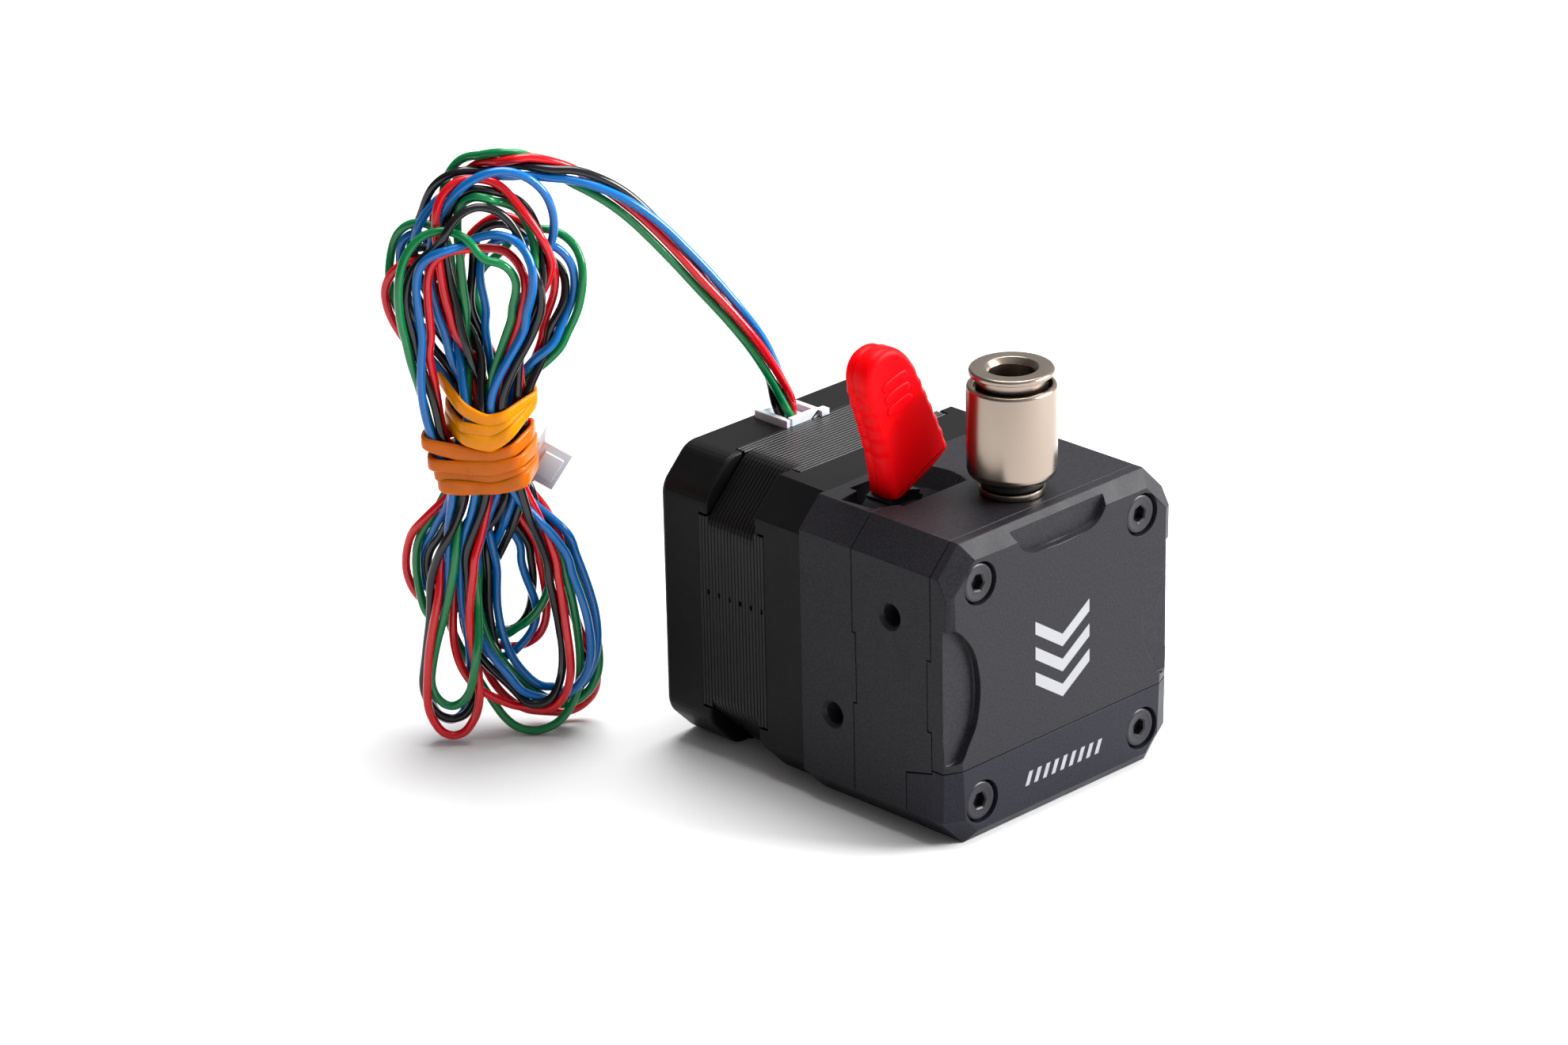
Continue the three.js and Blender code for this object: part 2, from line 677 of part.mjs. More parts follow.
// ---------- tube fitting ----------
function fitting() {
  const body = turned(
    [
      [FILAMENT_BORE_R, 35.2],
      [4, 35.2],
      [4, 42.5],
      [4.35, 42.5],
      [4.35, 43.4],
      [3.3, 43.4],
      [3.3, 44.7],
      [4.8, 44.7],
      [5.6, 45.1],
      [6, 45.9],
      [6, 57.4],
      [5.75, 57.66],
      [5.35, 57.66],
      [5.35, 56],
      [5, 56],
      [5, 46],
      [FILAMENT_BORE_R, 46],
      [FILAMENT_BORE_R, 35.2],
    ],
    0,
    FILAMENT_DEPTH,
  );
  part("fitting_body", body, nickel());
  const seal = [
    [3.4, 43.5],
    [4.3, 43.5],
    [4.3, 44.6],
    [3.4, 44.6],
    [3.4, 43.5],
  ];
  part("o_ring", turned(seal, 0, FILAMENT_DEPTH), blackRubber());
  const collet = [
    [3.1, 46.1],
    [4.9, 46.1],
    [4.9, 47.2],
    [3.1, 46.6],
    [3.1, 46.1],
  ];
  part("collet_ring", turned(collet, 0, FILAMENT_DEPTH), brightSteel());
  const collar = turned(
    [
      [3, 49],
      [4.75, 49],
      [4.75, 59.15],
      [5.4, 59.15],
      [5.67, 59.35],
      [5.67, 59.7],
      [5.45, 59.9],
      [3.35, 59.9],
      [3, 59.4],
      [3, 49],
    ],
    0,
    FILAMENT_DEPTH,
  );
  part("fitting_collar", collar, nickel());
}

// ---------- motor ----------
const SOCKET_X = [-4.35, 2.1];
const SOCKET_DEPTHS = [46.35, 52.6];
const SOCKET_Z = [39, 43.4];
const EAR_INNER = 14.2;
const EAR_LENGTH = 1.5; // how far the caps' corners reach over the stator
const WINDING_ROOM_R = 17.3;
const BEARING_R = 8;
const MOTOR_SCREW_R = 1.25;
const MOTOR_SCREW_HOLE_R = 1.45;

function cornerBlocks(d0, d1, inner) {
  const blocks = [];
  for (const sx of [-1, 1]) {
    for (const sz of [-1, 1]) {
      const xs = [sx * inner, sx * 30].sort((a, b) => a - b);
      const zs = [MID_Z + sz * inner, MID_Z + sz * 30].sort((a, b) => a - b);
      blocks.push(box(xs, [d0, d1], zs));
    }
  }
  return blocks;
}

// The room the socket sits in, through the rear cap and the back of the stator.
function socketPocket() {
  const play = 0.1;
  const grown = ([low, high]) => [low - play, high + play];
  return box(grown(SOCKET_X), grown(SOCKET_DEPTHS), [SOCKET_Z[0] - play, 60]);
}

function motorCaps() {
  const outline = MOTOR_OUTLINE;
  const frontEars = cornerBlocks(STATOR_FRONT - 1, STATOR_FRONT + EAR_LENGTH, EAR_INNER);
  const front = cut(
    union(
      prism(outline, HOUSING_BACK, STATOR_FRONT),
      prism(outline, STATOR_FRONT - 1, STATOR_FRONT + EAR_LENGTH).intersect(union(...frontEars)),
      bar(0, MID_Z, 11, 25.3, HOUSING_BACK + 1, FINE),
    ),
    bar(0, MID_Z, WINDING_ROOM_R, 31.2, 40, FINE),
    bar(0, MID_Z, BEARING_R + 0.1, 27.6, 40),
    bar(0, MID_Z, 3.2, 20, 40),
    ...SCREW_PLACES.map(([x, z]) => bar(x, z, SCREW_HOLE_R, 20, 31)),
    ...SCREW_PLACES.map(([x, z]) => bar(x, z, MOTOR_SCREW_HOLE_R, 31.6, 40, COARSE)),
  );
  part("motor_front_cap", front, motorBlack());

  const rearEars = cornerBlocks(STATOR_BACK - EAR_LENGTH, STATOR_BACK + 1, EAR_INNER);
  const rear = cut(
    union(
      prism(outline, STATOR_BACK, MOTOR_BACK),
      prism(outline, STATOR_BACK - EAR_LENGTH, STATOR_BACK + 1).intersect(union(...rearEars)),
    ),
    bar(0, MID_Z, WINDING_ROOM_R, 40, 49.5, FINE),
    bar(0, MID_Z, BEARING_R + 0.1, 40, 52.5),
    socketPocket(),
    ...SCREW_PLACES.map(([x, z]) => bar(x, z, MOTOR_SCREW_HOLE_R, 40, 55, COARSE)),
    ...SCREW_PLACES.map(([x, z]) => bar(x, z, 2.9, 51.5, 55)),
  );
  part("motor_rear_cap", rear, motorBlack());
}

function stator() {
  const gap = 0.3;
  const stack = cut(
    prism(STATOR_OUTLINE, STATOR_FRONT, STATOR_BACK),
    ...cornerBlocks(STATOR_FRONT - 1, STATOR_FRONT + EAR_LENGTH + gap, EAR_INNER - gap),
    ...cornerBlocks(STATOR_BACK - EAR_LENGTH - gap, STATOR_BACK + 1, EAR_INNER - gap),
    bar(0, MID_Z, 17, 30, 50, FINE),
    socketPocket(),
    ...SCREW_PLACES.map(([x, z]) => bar(x, z, MOTOR_SCREW_HOLE_R, 30, 50, COARSE)),
  );
  part("stator_stack", stack, lamination());
  part("stator_windings", ring(0, MID_Z, 12.6, 16.6, 32.2, 48.6, FINE), copper());
}

function rotor() {
  const shaft = union(bar(0, MID_Z, SHAFT_R, 23, 52), bar(0, MID_Z, 1.15 - FIT, 18.6, 24, COARSE));
  part("motor_shaft", shaft, brightSteel());
  part("rotor_core", ring(0, MID_Z, SHAFT_R + FIT, 12, 34.5, 46.5), lamination());
  const towardsGear = Math.atan2(DRIVE_AXIS_Z - MID_Z, DRIVE_AXIS_X);
  const outline = gearOutline({
    module: REDUCTION_MODULE,
    teeth: PINION_TEETH,
    centre: { x: 0, z: MID_Z },
    toothAngle: towardsGear,
    slack: 0.12,
    addendum: 0.8,
  });
  part("pinion", cut(prism(outline, 18.6, 22.8), bar(0, MID_Z, 1.15, 18, 23.5, COARSE)), brightSteel());
  const race = (d0, d1) => ring(0, MID_Z, SHAFT_R + 0.05, BEARING_R, d0, d1);
  part("motor_bearing_front", race(27.7, 32.4), brightSteel());
  part("motor_bearing_rear", race(47.4, 51.9), brightSteel());
  part("wave_washer", ring(0, MID_Z, 6.2, 7.8, 52, 52.4), brightSteel());
}

function motorScrews() {
  SCREW_PLACES.forEach(([x, z], index) => {
    const head = bar(x, z, 2.6, 51.7, 53.5);
    const shank = bar(x, z, MOTOR_SCREW_R, 32.4, 52, COARSE);
    const socket = bar(x, z, 1.2, 52.4, 55, 6);
    part(`motor_screw_${index + 1}`, cut(union(head, shank), socket), blackSteel());
  });
}

// ---------- lead, its socket and its hank ----------

function socket() {
  const wall = 0.85;
  const room = [
    [SOCKET_X[0] + wall, SOCKET_X[1] - wall],
    [SOCKET_DEPTHS[0] + wall, SOCKET_DEPTHS[1] - wall],
    [SOCKET_Z[0] + 1, 50],
  ];
  const [left, right] = SOCKET_X;
  const front = SOCKET_DEPTHS[0];
  const keySlot = box([left + 0.6, left + 1], [front - 0.2, front + 1], [42, 50]);
  const latch = box([right - 0.4, right + 1.1], [front - 0.6, front + 0.7], [42.4, 43.3]);
  const shell = union(box(SOCKET_X, SOCKET_DEPTHS, SOCKET_Z), latch);
  const body = cut(shell, box(...room), keySlot);
  part("motor_socket", body, whiteNylon());
  const clear = 0.1;
  const plug = box(
    [room[0][0] + clear, room[0][1] - clear],
    [room[1][0] + clear, room[1][1] - clear],
    [40.1, 42.5],
  );
  part("lead_plug", plug, whiteNylon());
}

// The lead's route, as [x, depth, z], from the plug up and over to the top of the hank.
const LEAD_ROUTE = [
  [-1.7, 49.2, 42.9],
  [-2.3, 49.2, 45.6],
  [-3.4, 49.4, 48.5],
  [-5.5, 50.7, 53.5],
  [-8.2, 52.3, 58.4],
  [-11, 54.5, 63.2],
  [-13.5, 56.3, 67.2],
  [-15.7, 58, 70.6],
  [-17.9, 59.7, 73.6],
  [-20.1, 61.3, 76],
  [-22.6, 63, 78.1],
  [-24.9, 64.8, 79.7],
  [-27.3, 66.6, 80.8],
  [-29.4, 68.2, 81.7],
  [-31.2, 69.5, 82],
];
const LEAD_R = 1.7;
const HANK = { x: -34.5, depth: 72, halfThick: 5 };
const HANK_TURN = -Math.PI / 4; // the hank's broad side faces the front left
const WAIST = 6.2; // half the hank's width where the bands hold it

function lead() {
  const points = LEAD_ROUTE.map(([x, depth, z]) => new THREE.Vector3(x, at(depth), z));
  const path = new THREE.CatmullRomCurve3(points, false, "centripetal");
  const section = new THREE.Shape();
  section.absarc(0, 0, LEAD_R, 0, 2 * Math.PI, false);
  const options = { steps: 26, extrudePath: path, bevelEnabled: false, curveSegments: 4 };
  part("cord_lead", solid(new THREE.ExtrudeGeometry(section, options)), wireRed());
}

// A prism standing in the hank's own plane: an outline of [across, z] points, with a thickness.
function hankPrism(outline, n0, n1) {
  const shape = new THREE.Shape(outline.map(([w, z]) => new THREE.Vector2(w, z)));
  const geometry = new THREE.ExtrudeGeometry(shape, { depth: n1 - n0, bevelEnabled: false });
  geometry.rotateX(Math.PI / 2);
  geometry.translate(0, n1, 0);
  geometry.rotateZ(HANK_TURN);
  geometry.translate(HANK.x, at(HANK.depth), 0);
  return solid(geometry);
}

// A rubber band round the hank's waist, between two heights.
function hankBand(z0, z1) {
  const gap = 0.3;
  const wall = 1.4;
  const inner = WAIST + gap;
  const thick = HANK.halfThick + gap;
  const loop = (w, low, high) => [
    [-w, low],
    [w, low],
    [w, high],
    [-w, high],
  ];
  const outer = hankPrism(loop(inner + wall, z0, z1), -thick - wall, thick + wall);
  return cut(outer, hankPrism(loop(inner, z0 - 1, z1 + 1), -thick, thick));
}

// The hank stands on the ground: a lobe above and a lobe below a narrow, banded waist.
function hank() {
  const lobeR = 12.2;
  const top = circlePoints(-0.9, 68.8, lobeR, -0.15, Math.PI + 0.15, 12);
  const foot = circlePoints(0.6, lobeR, lobeR, Math.PI - 0.15, 2 * Math.PI + 0.15, 12);
  const leftWaist = [
    [-9.6, 57],
    [-WAIST, 50],
    [-WAIST, 36],
    [-9.6, 28],
  ];
  const rightWaist = [
    [9.6, 28],
    [WAIST, 36],
    [WAIST, 50],
    [8.4, 57],
  ];
  const outline = [...top, ...leftWaist, ...foot, ...rightWaist];
  part("cord_hank", hankPrism(outline, -HANK.halfThick, HANK.halfThick), wireRed());
  part("upper_band", hankBand(43.6, 49.4), amberRubber());
  part("lower_band", hankBand(36.6, 43.2), amberRubber());
  const plug = hankPrism(
    [
      [8.2, 35.2],
      [12, 36.2],
      [11, 42.8],
      [8.2, 42],
    ],
    1.5,
    9.5,
  );
  part("cord_plug", plug, whiteNylon());
}

frontCover();
lowerFrontPlate();
coverScrews();
gearHousing();
rearHousing();
driveSet();
idlerSet();
tensionSpring();
lever();
fitting();
motorCaps();
stator();
rotor();
motorScrews();
socket();
lead();
hank();

export default root;
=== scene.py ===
import json
import math

import bmesh
import bpy
import numpy as np
from mathutils import Matrix, Vector

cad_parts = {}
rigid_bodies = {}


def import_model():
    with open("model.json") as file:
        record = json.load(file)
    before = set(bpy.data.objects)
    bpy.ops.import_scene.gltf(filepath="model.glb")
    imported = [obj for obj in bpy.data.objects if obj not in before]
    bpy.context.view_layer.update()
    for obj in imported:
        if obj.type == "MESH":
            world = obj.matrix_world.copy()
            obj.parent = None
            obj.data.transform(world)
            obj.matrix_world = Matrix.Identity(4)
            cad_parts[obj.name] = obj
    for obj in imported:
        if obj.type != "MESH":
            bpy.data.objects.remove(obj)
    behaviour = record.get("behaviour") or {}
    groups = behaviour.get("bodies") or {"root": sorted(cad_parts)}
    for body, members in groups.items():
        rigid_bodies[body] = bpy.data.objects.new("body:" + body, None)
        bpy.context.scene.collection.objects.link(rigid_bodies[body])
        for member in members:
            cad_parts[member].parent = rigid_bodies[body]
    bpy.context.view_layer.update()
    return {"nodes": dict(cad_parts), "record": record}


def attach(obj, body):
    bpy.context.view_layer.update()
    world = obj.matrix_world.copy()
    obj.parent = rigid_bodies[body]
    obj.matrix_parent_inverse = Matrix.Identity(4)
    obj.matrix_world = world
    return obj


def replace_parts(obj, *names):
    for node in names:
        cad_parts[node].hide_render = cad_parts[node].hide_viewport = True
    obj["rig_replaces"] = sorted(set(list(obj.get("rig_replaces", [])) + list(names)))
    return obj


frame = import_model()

# Lengths are in mm unless a comment says otherwise, in the row frame: x to the right, y to the back, z up.
NODES = frame["nodes"]
MM = 0.001
BODY_DEPTH = 53.8
MID_Z = 21.2  # the height of the motor's axis


def at(depth):
    """A depth behind the cover's front face, as y."""
    return depth - BODY_DEPTH / 2


def show(name, data):
    thing = bpy.data.objects.new(name, data)
    bpy.context.scene.collection.objects.link(thing)
    return thing


# ---- camera
CAMERA_PLACE = Vector((-528.2, -515.9, 343.7)) * MM
CAMERA_TURNS = [math.radians(a) for a in (-44.325, 22.813, -1.283)]  # azimuth, elevation and roll
CAMERA_LENS = 137.73
CAMERA_SENSOR = 36
CAMERA_CLIP = (0.05, 20)  # m


def make_camera():
    a, e, r = CAMERA_TURNS
    back = Vector((math.sin(a) * math.cos(e), -math.cos(a) * math.cos(e), math.sin(e)))
    right = Vector((math.cos(a), math.sin(a), 0))
    up = back.cross(right)
    rolled_right = right * math.cos(r) + up * math.sin(r)
    rolled_up = up * math.cos(r) - right * math.sin(r)
    data = bpy.data.cameras.new("camera")
    data.sensor_width = CAMERA_SENSOR
    data.lens = CAMERA_LENS
    data.clip_start, data.clip_end = CAMERA_CLIP
    camera = show("camera", data)
    axes = Matrix((rolled_right, rolled_up, back)).transposed().to_4x4()
    camera.matrix_world = Matrix.Translation(CAMERA_PLACE) @ axes
    bpy.context.scene.camera = camera


make_camera()


# ---- finishes
COLOUR_A, COLOUR_B, COLOUR_OUT = 6, 7, 2  # a Mix node's colour sockets
FINE_DETAIL, BROAD_DETAIL = 2.0, 4.0
BROAD_SCALE = 240
GLOSS_CHANGE = 0.1  # share by which the roughness varies


def linear(rgb):
    """An sRGB colour of 0 to 255 as linear red, green and blue."""
    shares = [c / 255 for c in rgb]
    return [s / 12.92 if s <= 0.04045 else ((s + 0.055) / 1.055) ** 2.4 for s in shares]


def add_noise(tree, scale, detail):
    """A noise over the object's own coordinates, which are in metres."""
    place = tree.nodes.new("ShaderNodeTexCoord")
    noise = tree.nodes.new("ShaderNodeTexNoise")
    noise.inputs["Scale"].default_value = scale
    noise.inputs["Detail"].default_value = detail
    tree.links.new(place.outputs["Object"], noise.inputs["Vector"])
    return noise.outputs["Fac"]


def add_range(tree, value, limits, new_limits):
    """A value between two limits, moved to lie between two new ones."""
    node = tree.nodes.new("ShaderNodeMapRange")
    for name, limit in zip(("From Min", "From Max", "To Min", "To Max"), (*limits, *new_limits)):
        node.inputs[name].default_value = limit
    tree.links.new(value, node.inputs["Value"])
    return node.outputs["Result"]


def add_mix(tree, blend):
    mix = tree.nodes.new("ShaderNodeMix")
    mix.data_type = "RGBA"
    mix.blend_type = blend
    return mix


def finish(name, rgb, roughness, metallic=0.0, specular=0.3, grain=3200, relief=0.01, patch=0.06, speckle=0.0, **more):
    """A finish with a fine relief and a slightly uneven colour and gloss."""
    material = bpy.data.materials.new(name)
    material.use_nodes = True
    tree = material.node_tree
    links = tree.links
    shader = tree.nodes["Principled BSDF"]
    fine = add_noise(tree, grain, FINE_DETAIL)
    broad = add_noise(tree, BROAD_SCALE, BROAD_DETAIL)
    colour = linear(rgb)
    patches = add_mix(tree, "MIX")
    patches.inputs[COLOUR_A].default_value = (*(c * (1 - patch) for c in colour), 1)
    patches.inputs[COLOUR_B].default_value = (*(min(1, c * (1 + patch)) for c in colour), 1)
    links.new(broad, patches.inputs[0])
    dots = add_mix(tree, "MULTIPLY")
    dots.inputs[0].default_value = 1
    links.new(patches.outputs[COLOUR_OUT], dots.inputs[COLOUR_A])
    links.new(add_range(tree, fine, (0.35, 0.65), (1 - speckle, 1 + speckle)), dots.inputs[COLOUR_B])
    links.new(dots.outputs[COLOUR_OUT], shader.inputs["Base Color"])
    glosses = roughness * (1 - GLOSS_CHANGE), min(1, roughness * (1 + GLOSS_CHANGE))
    links.new(add_range(tree, broad, (0.3, 0.7), glosses), shader.inputs["Roughness"])
    bump = tree.nodes.new("ShaderNodeBump")
    bump.inputs["Distance"].default_value = relief * MM
    links.new(fine, bump.inputs["Height"])
    links.new(bump.outputs["Normal"], shader.inputs["Normal"])
    shader.inputs["Metallic"].default_value = metallic
    shader.inputs["Specular IOR Level"].default_value = specular
    for key, value in more.items():
        shader.inputs[key.replace("_", " ")].default_value = value
    return material


CASE = dict(roughness=0.42, specular=0.13, relief=0.012, speckle=0.25)
BAND = dict(roughness=0.3, specular=0.2, relief=0.02, grain=900, Subsurface_Weight=0.35, Subsurface_Scale=0.002)
LOOKS = {
    "graphite": dict(rgb=(31, 30, 34), **CASE),
    "blue_black": dict(rgb=(26, 27, 35), **CASE),
    "black_steel": dict(rgb=(52, 52, 55), roughness=0.34, metallic=0.85, relief=0.004),
    "bright_steel": dict(rgb=(190, 189, 191), roughness=0.28, metallic=1.0, relief=0.003),
    "nickel": dict(rgb=(150, 137, 125), roughness=0.25, metallic=1.0, relief=0.002, patch=0.012),
    "motor_black": dict(rgb=(14, 14, 15), roughness=0.4, specular=0.1, relief=0.012, grain=2400),
    "laminations": dict(rgb=(17, 17, 18), roughness=0.36, metallic=0.1, specular=0.2, relief=0.006),
    "copper": dict(rgb=(180, 105, 55), roughness=0.35, metallic=0.9),
    "red_plastic": dict(
        rgb=(236, 0, 10), roughness=0.4, specular=0.07, relief=0.006, patch=0.03,
        Subsurface_Weight=0.12, Subsurface_Scale=0.0015,
    ),
    "white_nylon": dict(
        rgb=(190, 195, 201), roughness=0.4, specular=0.4, relief=0.004, patch=0.02,
        Subsurface_Weight=0.25, Subsurface_Scale=0.001,
    ),
    "black_rubber": dict(rgb=(16, 16, 17), roughness=0.7, relief=0.01),
    # Painted shade: the lower band is the same amber rubber as the upper one, coloured darker and browner.
    "dark_amber": dict(rgb=(198, 98, 4), patch=0.25, **BAND),
    "amber_rubber": dict(rgb=(226, 134, 0), patch=0.1, **BAND),
    "pale_mark": dict(rgb=(146, 147, 151), roughness=0.5, metallic=0.3),
}
FINISHES = {name: finish(name, **look) for name, look in LOOKS.items()}
JACKET_COLOURS = {"red": (205, 4, 20), "green": (0, 118, 62), "blue": (0, 98, 170), "black": (16, 16, 19)}
JACKETS = {
    name: finish(f"{name}_jacket", rgb, 0.13, specular=0.45, relief=0.004, grain=1500, patch=0.03)
    for name, rgb in JACKET_COLOURS.items()
}
COLOURS = tuple(JACKETS)


# ---- lines of points
PER_SPAN = 12


def unit(vectors):
    return vectors / np.linalg.norm(vectors, axis=1)[:, None]


def smooth_line(points, per_span=PER_SPAN):
    """A centripetal curve through the points."""
    p = np.array(points, float)
    p = np.vstack([2 * p[0] - p[1], p, 2 * p[-1] - p[-2]])
    line = []
    for a, b, c, d in zip(p[:-3], p[1:-2], p[2:-1], p[3:]):
        tb = np.linalg.norm(b - a) ** 0.5
        tc = tb + np.linalg.norm(c - b) ** 0.5
        td = tc + np.linalg.norm(d - c) ** 0.5
        for t in np.linspace(tb, tc, per_span, endpoint=False):
            ab = (tb - t) / tb * a + t / tb * b
            bc = (tc - t) / (tc - tb) * b + (t - tb) / (tc - tb) * c
            cd = (td - t) / (td - tc) * c + (t - tc) / (td - tc) * d
            abc = (tc - t) / tc * ab + t / tc * bc
            bcd = (td - t) / (td - tb) * bc + (t - tb) / (td - tb) * cd
            line.append((tc - t) / (tc - tb) * abc + (t - tb) / (tc - tb) * bcd)
    line.append(p[-2])
    return np.array(line)


def run_along(line):
    """How far along the line each of its points lies."""
    return np.concatenate([[0], np.cumsum(np.linalg.norm(np.diff(line, axis=0), axis=1))])


def spread(line, count, closed=False):
    """The line again with evenly spaced points, and how far along it each of them lies."""
    along = run_along(line)
    places = np.linspace(0, along[-1], count, endpoint=not closed)
    return np.stack([np.interp(places, along, column) for column in line.T], axis=1), places


def leftwards(outline):
    """Directions to the left of a closed outline's run."""
    ahead = unit(np.roll(outline, -1, axis=0) - np.roll(outline, 1, axis=0))
    return np.stack([-ahead[:, 1], ahead[:, 0]], axis=1)


# ---- motor lead: four wires from the socket into a hank
WIRE_D = 1.2
WIRE_GAP = 1.25  # least distance between two wires' middles
WIRE_STEP = 0.75  # between the points of a wire
BEND_SPAN = 3  # steps on each side of a point over which its bend is measured
LEAST_BEND = 3.4
HIGHEST = 83.0
HANK_X, HANK_Y = -34.5, at(72.0)
HALF_TURN = math.sqrt(0.5)
ACROSS = np.array((HALF_TURN, -HALF_TURN, 0))
BEHIND = np.array((HALF_TURN, HALF_TURN, 0))

# The lead's middle line from its plug to the top of the hank: x, depth, z.
LEAD_ROUTE = (
    (-1.6, 49.2, 42.3), (-1.7, 49.2, 43.4), (-2.3, 49.2, 45.6), (-3.4, 49.4, 48.5), (-5.5, 50.7, 53.5),
    (-8.2, 52.3, 58.4), (-11, 54.5, 63.2), (-13.5, 56.3, 67.2), (-15.7, 58, 70.6), (-17.9, 59.7, 73.6),
    (-20.1, 61.3, 76), (-22.6, 63, 78.1), (-24.9, 64.8, 79.7), (-27.3, 66.6, 80.8), (-29.4, 68.2, 81.7),
    (-31.2, 69.5, 82),
)

# The hank's loops in the order that the lead runs through them: across, behind the middle, z.
FIRST_SIDE = ((1.7, 1.5, 81.5), (-2.6, 2.5, 80), (-6.7, 3, 75.7), (-8.5, 3, 69.6), (-7.3, 3, 62.8), (-4.8, 3, 56))
RIGHT_FOOT = (
    (-1.7, 1.5, 26), (-1.7, 1.5, 18), (0.3, 1.5, 9.5), (3.8, 1.5, 3.8), (7.8, 1.5, 2.6),
    (10.4, 1.5, 5.6), (11.3, 1, 12.5), (10.8, 0.5, 20.4), (8.6, 0, 28.2),
)
RIGHT_TOP = (
    (-1.6, 2.5, 58.4), (-2.3, 3, 63.9), (-0.9, 3, 68.9), (2.6, 3, 72.2),
    (7.1, 3, 71.2), (9.8, 2.5, 67.2), (10.3, 2, 61.7), (8.3, 1, 56.2),
)
SHORT_FOOT = (
    (-2.6, 3, 22.5), (-3.6, 3.5, 16), (-1.9, 3.5, 11.6), (1.3, 3.5, 11.2),
    (4.1, 3.5, 14.2), (5.3, 3, 20), (4.6, 2, 27),
)
TALL_TOP = (
    (-4, -0.5, 58.6), (-5.6, -1, 67.2), (-4.8, -1, 74.9), (-1.9, -1, 79.3),
    (2.3, -1, 80), (5.8, -1, 76.9), (7.3, -1, 70.8), (6.4, -1.5, 64.3), (3.9, -2, 57.8),
)
BIG_FOOT = (
    (-4.4, -2, 27.6), (-5, -2, 21.2), (-4.3, -2, 13.6), (-1.8, -2, 7.6),
    (2.1, -2, 3.6), (6.2, -2, 4.4), (9.3, -2, 9.8), (10, -2, 18), (8.2, -1.5, 26.2),
)
FRONT_TOP = (
    (4.9, -3, 60.4), (5.5, -3.5, 66.7), (3.4, -3.5, 71.5), (-0.7, -3.5, 73.5),
    (-4.6, -3.5, 72.7), (-7.8, -3.5, 69.2), (-9.5, -3.5, 63.1), (-9.1, -3, 56.1),
)
NARROW_FOOT = (
    (-6.6, -3.5, 27.5), (-8, -3.5, 19.6), (-9.5, -3.5, 12), (-9.8, -3.5, 6),
    (-6.9, -3.5, 2.2), (-3.9, -3.5, 6), (-3.6, -3.5, 13.1), (-3.9, -3, 19.9), (-3.7, -3, 27.4),
)
LEFT_TOP = (
    (-3.4, 2, 57.5), (-5.4, 3, 63.4), (-6.3, 3, 68.4), (-8.6, 3, 71.2),
    (-11.2, 3, 69.6), (-12.1, 3, 65.3), (-11.2, 2.5, 60.4), (-8.8, 2, 55),
)
LEFT_FOOT = (
    (-8.4, 1.5, 30.4), (-10.5, 2.5, 26.5), (-11, 3, 21.5), (-9.4, 3, 17.1),
    (-6.7, 3, 16.3), (-4.6, 3, 19), (-3.6, 3, 24.3), (-2.6, 4, 27.5),
)
PLUG_END = ((-1.4, 5.0, 29.5), (-0.2, 6.2, 32.6), (2.4, 6.8, 35.4), (5.2, 6.8, 36.7), (7.6, 6.4, 37.3))

# Each loop, its wires' order from the outside in on its first side and on its second, where along it they change
# over, and how far they spread across and in depth.
LOOPS = (
    (FIRST_SIDE, "green red black blue", "black blue green red", 0.05, 1, 0.3),
    (RIGHT_FOOT, "red green black blue", "blue green red black", 0.5, 1.2, 0.5),
    (RIGHT_TOP, "red black green blue", "green blue black red", 0.35, 1.2, 0.5),
    (SHORT_FOOT, "red blue black green", "green red black blue", 0.6, 1, 0.5),
    (TALL_TOP, "blue red black green", "green black red blue", 0.68, 1.3, 0.4),
    (BIG_FOOT, "green red black blue", "blue green red black", 0.3, 1.2, 0.5),
    (FRONT_TOP, "black blue red green", "green black blue red", 0.3, 1.3, 0.4),
    (NARROW_FOOT, "black red blue green", "green red black blue", 0.55, 0.3, 1.1),
    (LEFT_TOP, "green black blue red", "red green blue black", 0.4, 0.9, 0.6),
    (LEFT_FOOT, "red green blue black", "blue red black green", 0.5, 0.7, 0.8),
)
# How far each wire strays from its place in a loop, and how often.
STRAY = 1.3
STRAY_TURNS = (1.9, -2.3, 1.6, -1.8)
LOOP_SIZES = (0.0, 0.03, -0.05, 0.01, -0.03)
WAIST = 43.0
# How each pass goes through the waist, from its top to its foot: across, behind the middle and z.
SLOTS = (
    ((-2.4, 3, 49.5), (-1.4, 2.9, 37)),
    ((0.8, 2.9, 49.5), (1.6, 2.9, 37)),
    ((4.2, 0.6, 49.5), (3.6, 0.4, 37)),
    ((-1.9, 0.2, 49.5), (-0.9, 0.4, 37)),
    ((2.9, -0.8, 49.5), (1.2, -0.4, 37)),
    ((0.8, -3.1, 49.5), (3.2, -2.7, 37)),
    ((-8.2, -2.2, 49.5), (-7.2, -2.5, 44), (-4.6, -2.8, 37)),
    ((-2.3, -2.8, 49.5), (-1.4, -2.9, 37)),
    ((-4.3, 1.5, 49.5), (-4.8, 0.6, 37)),
)

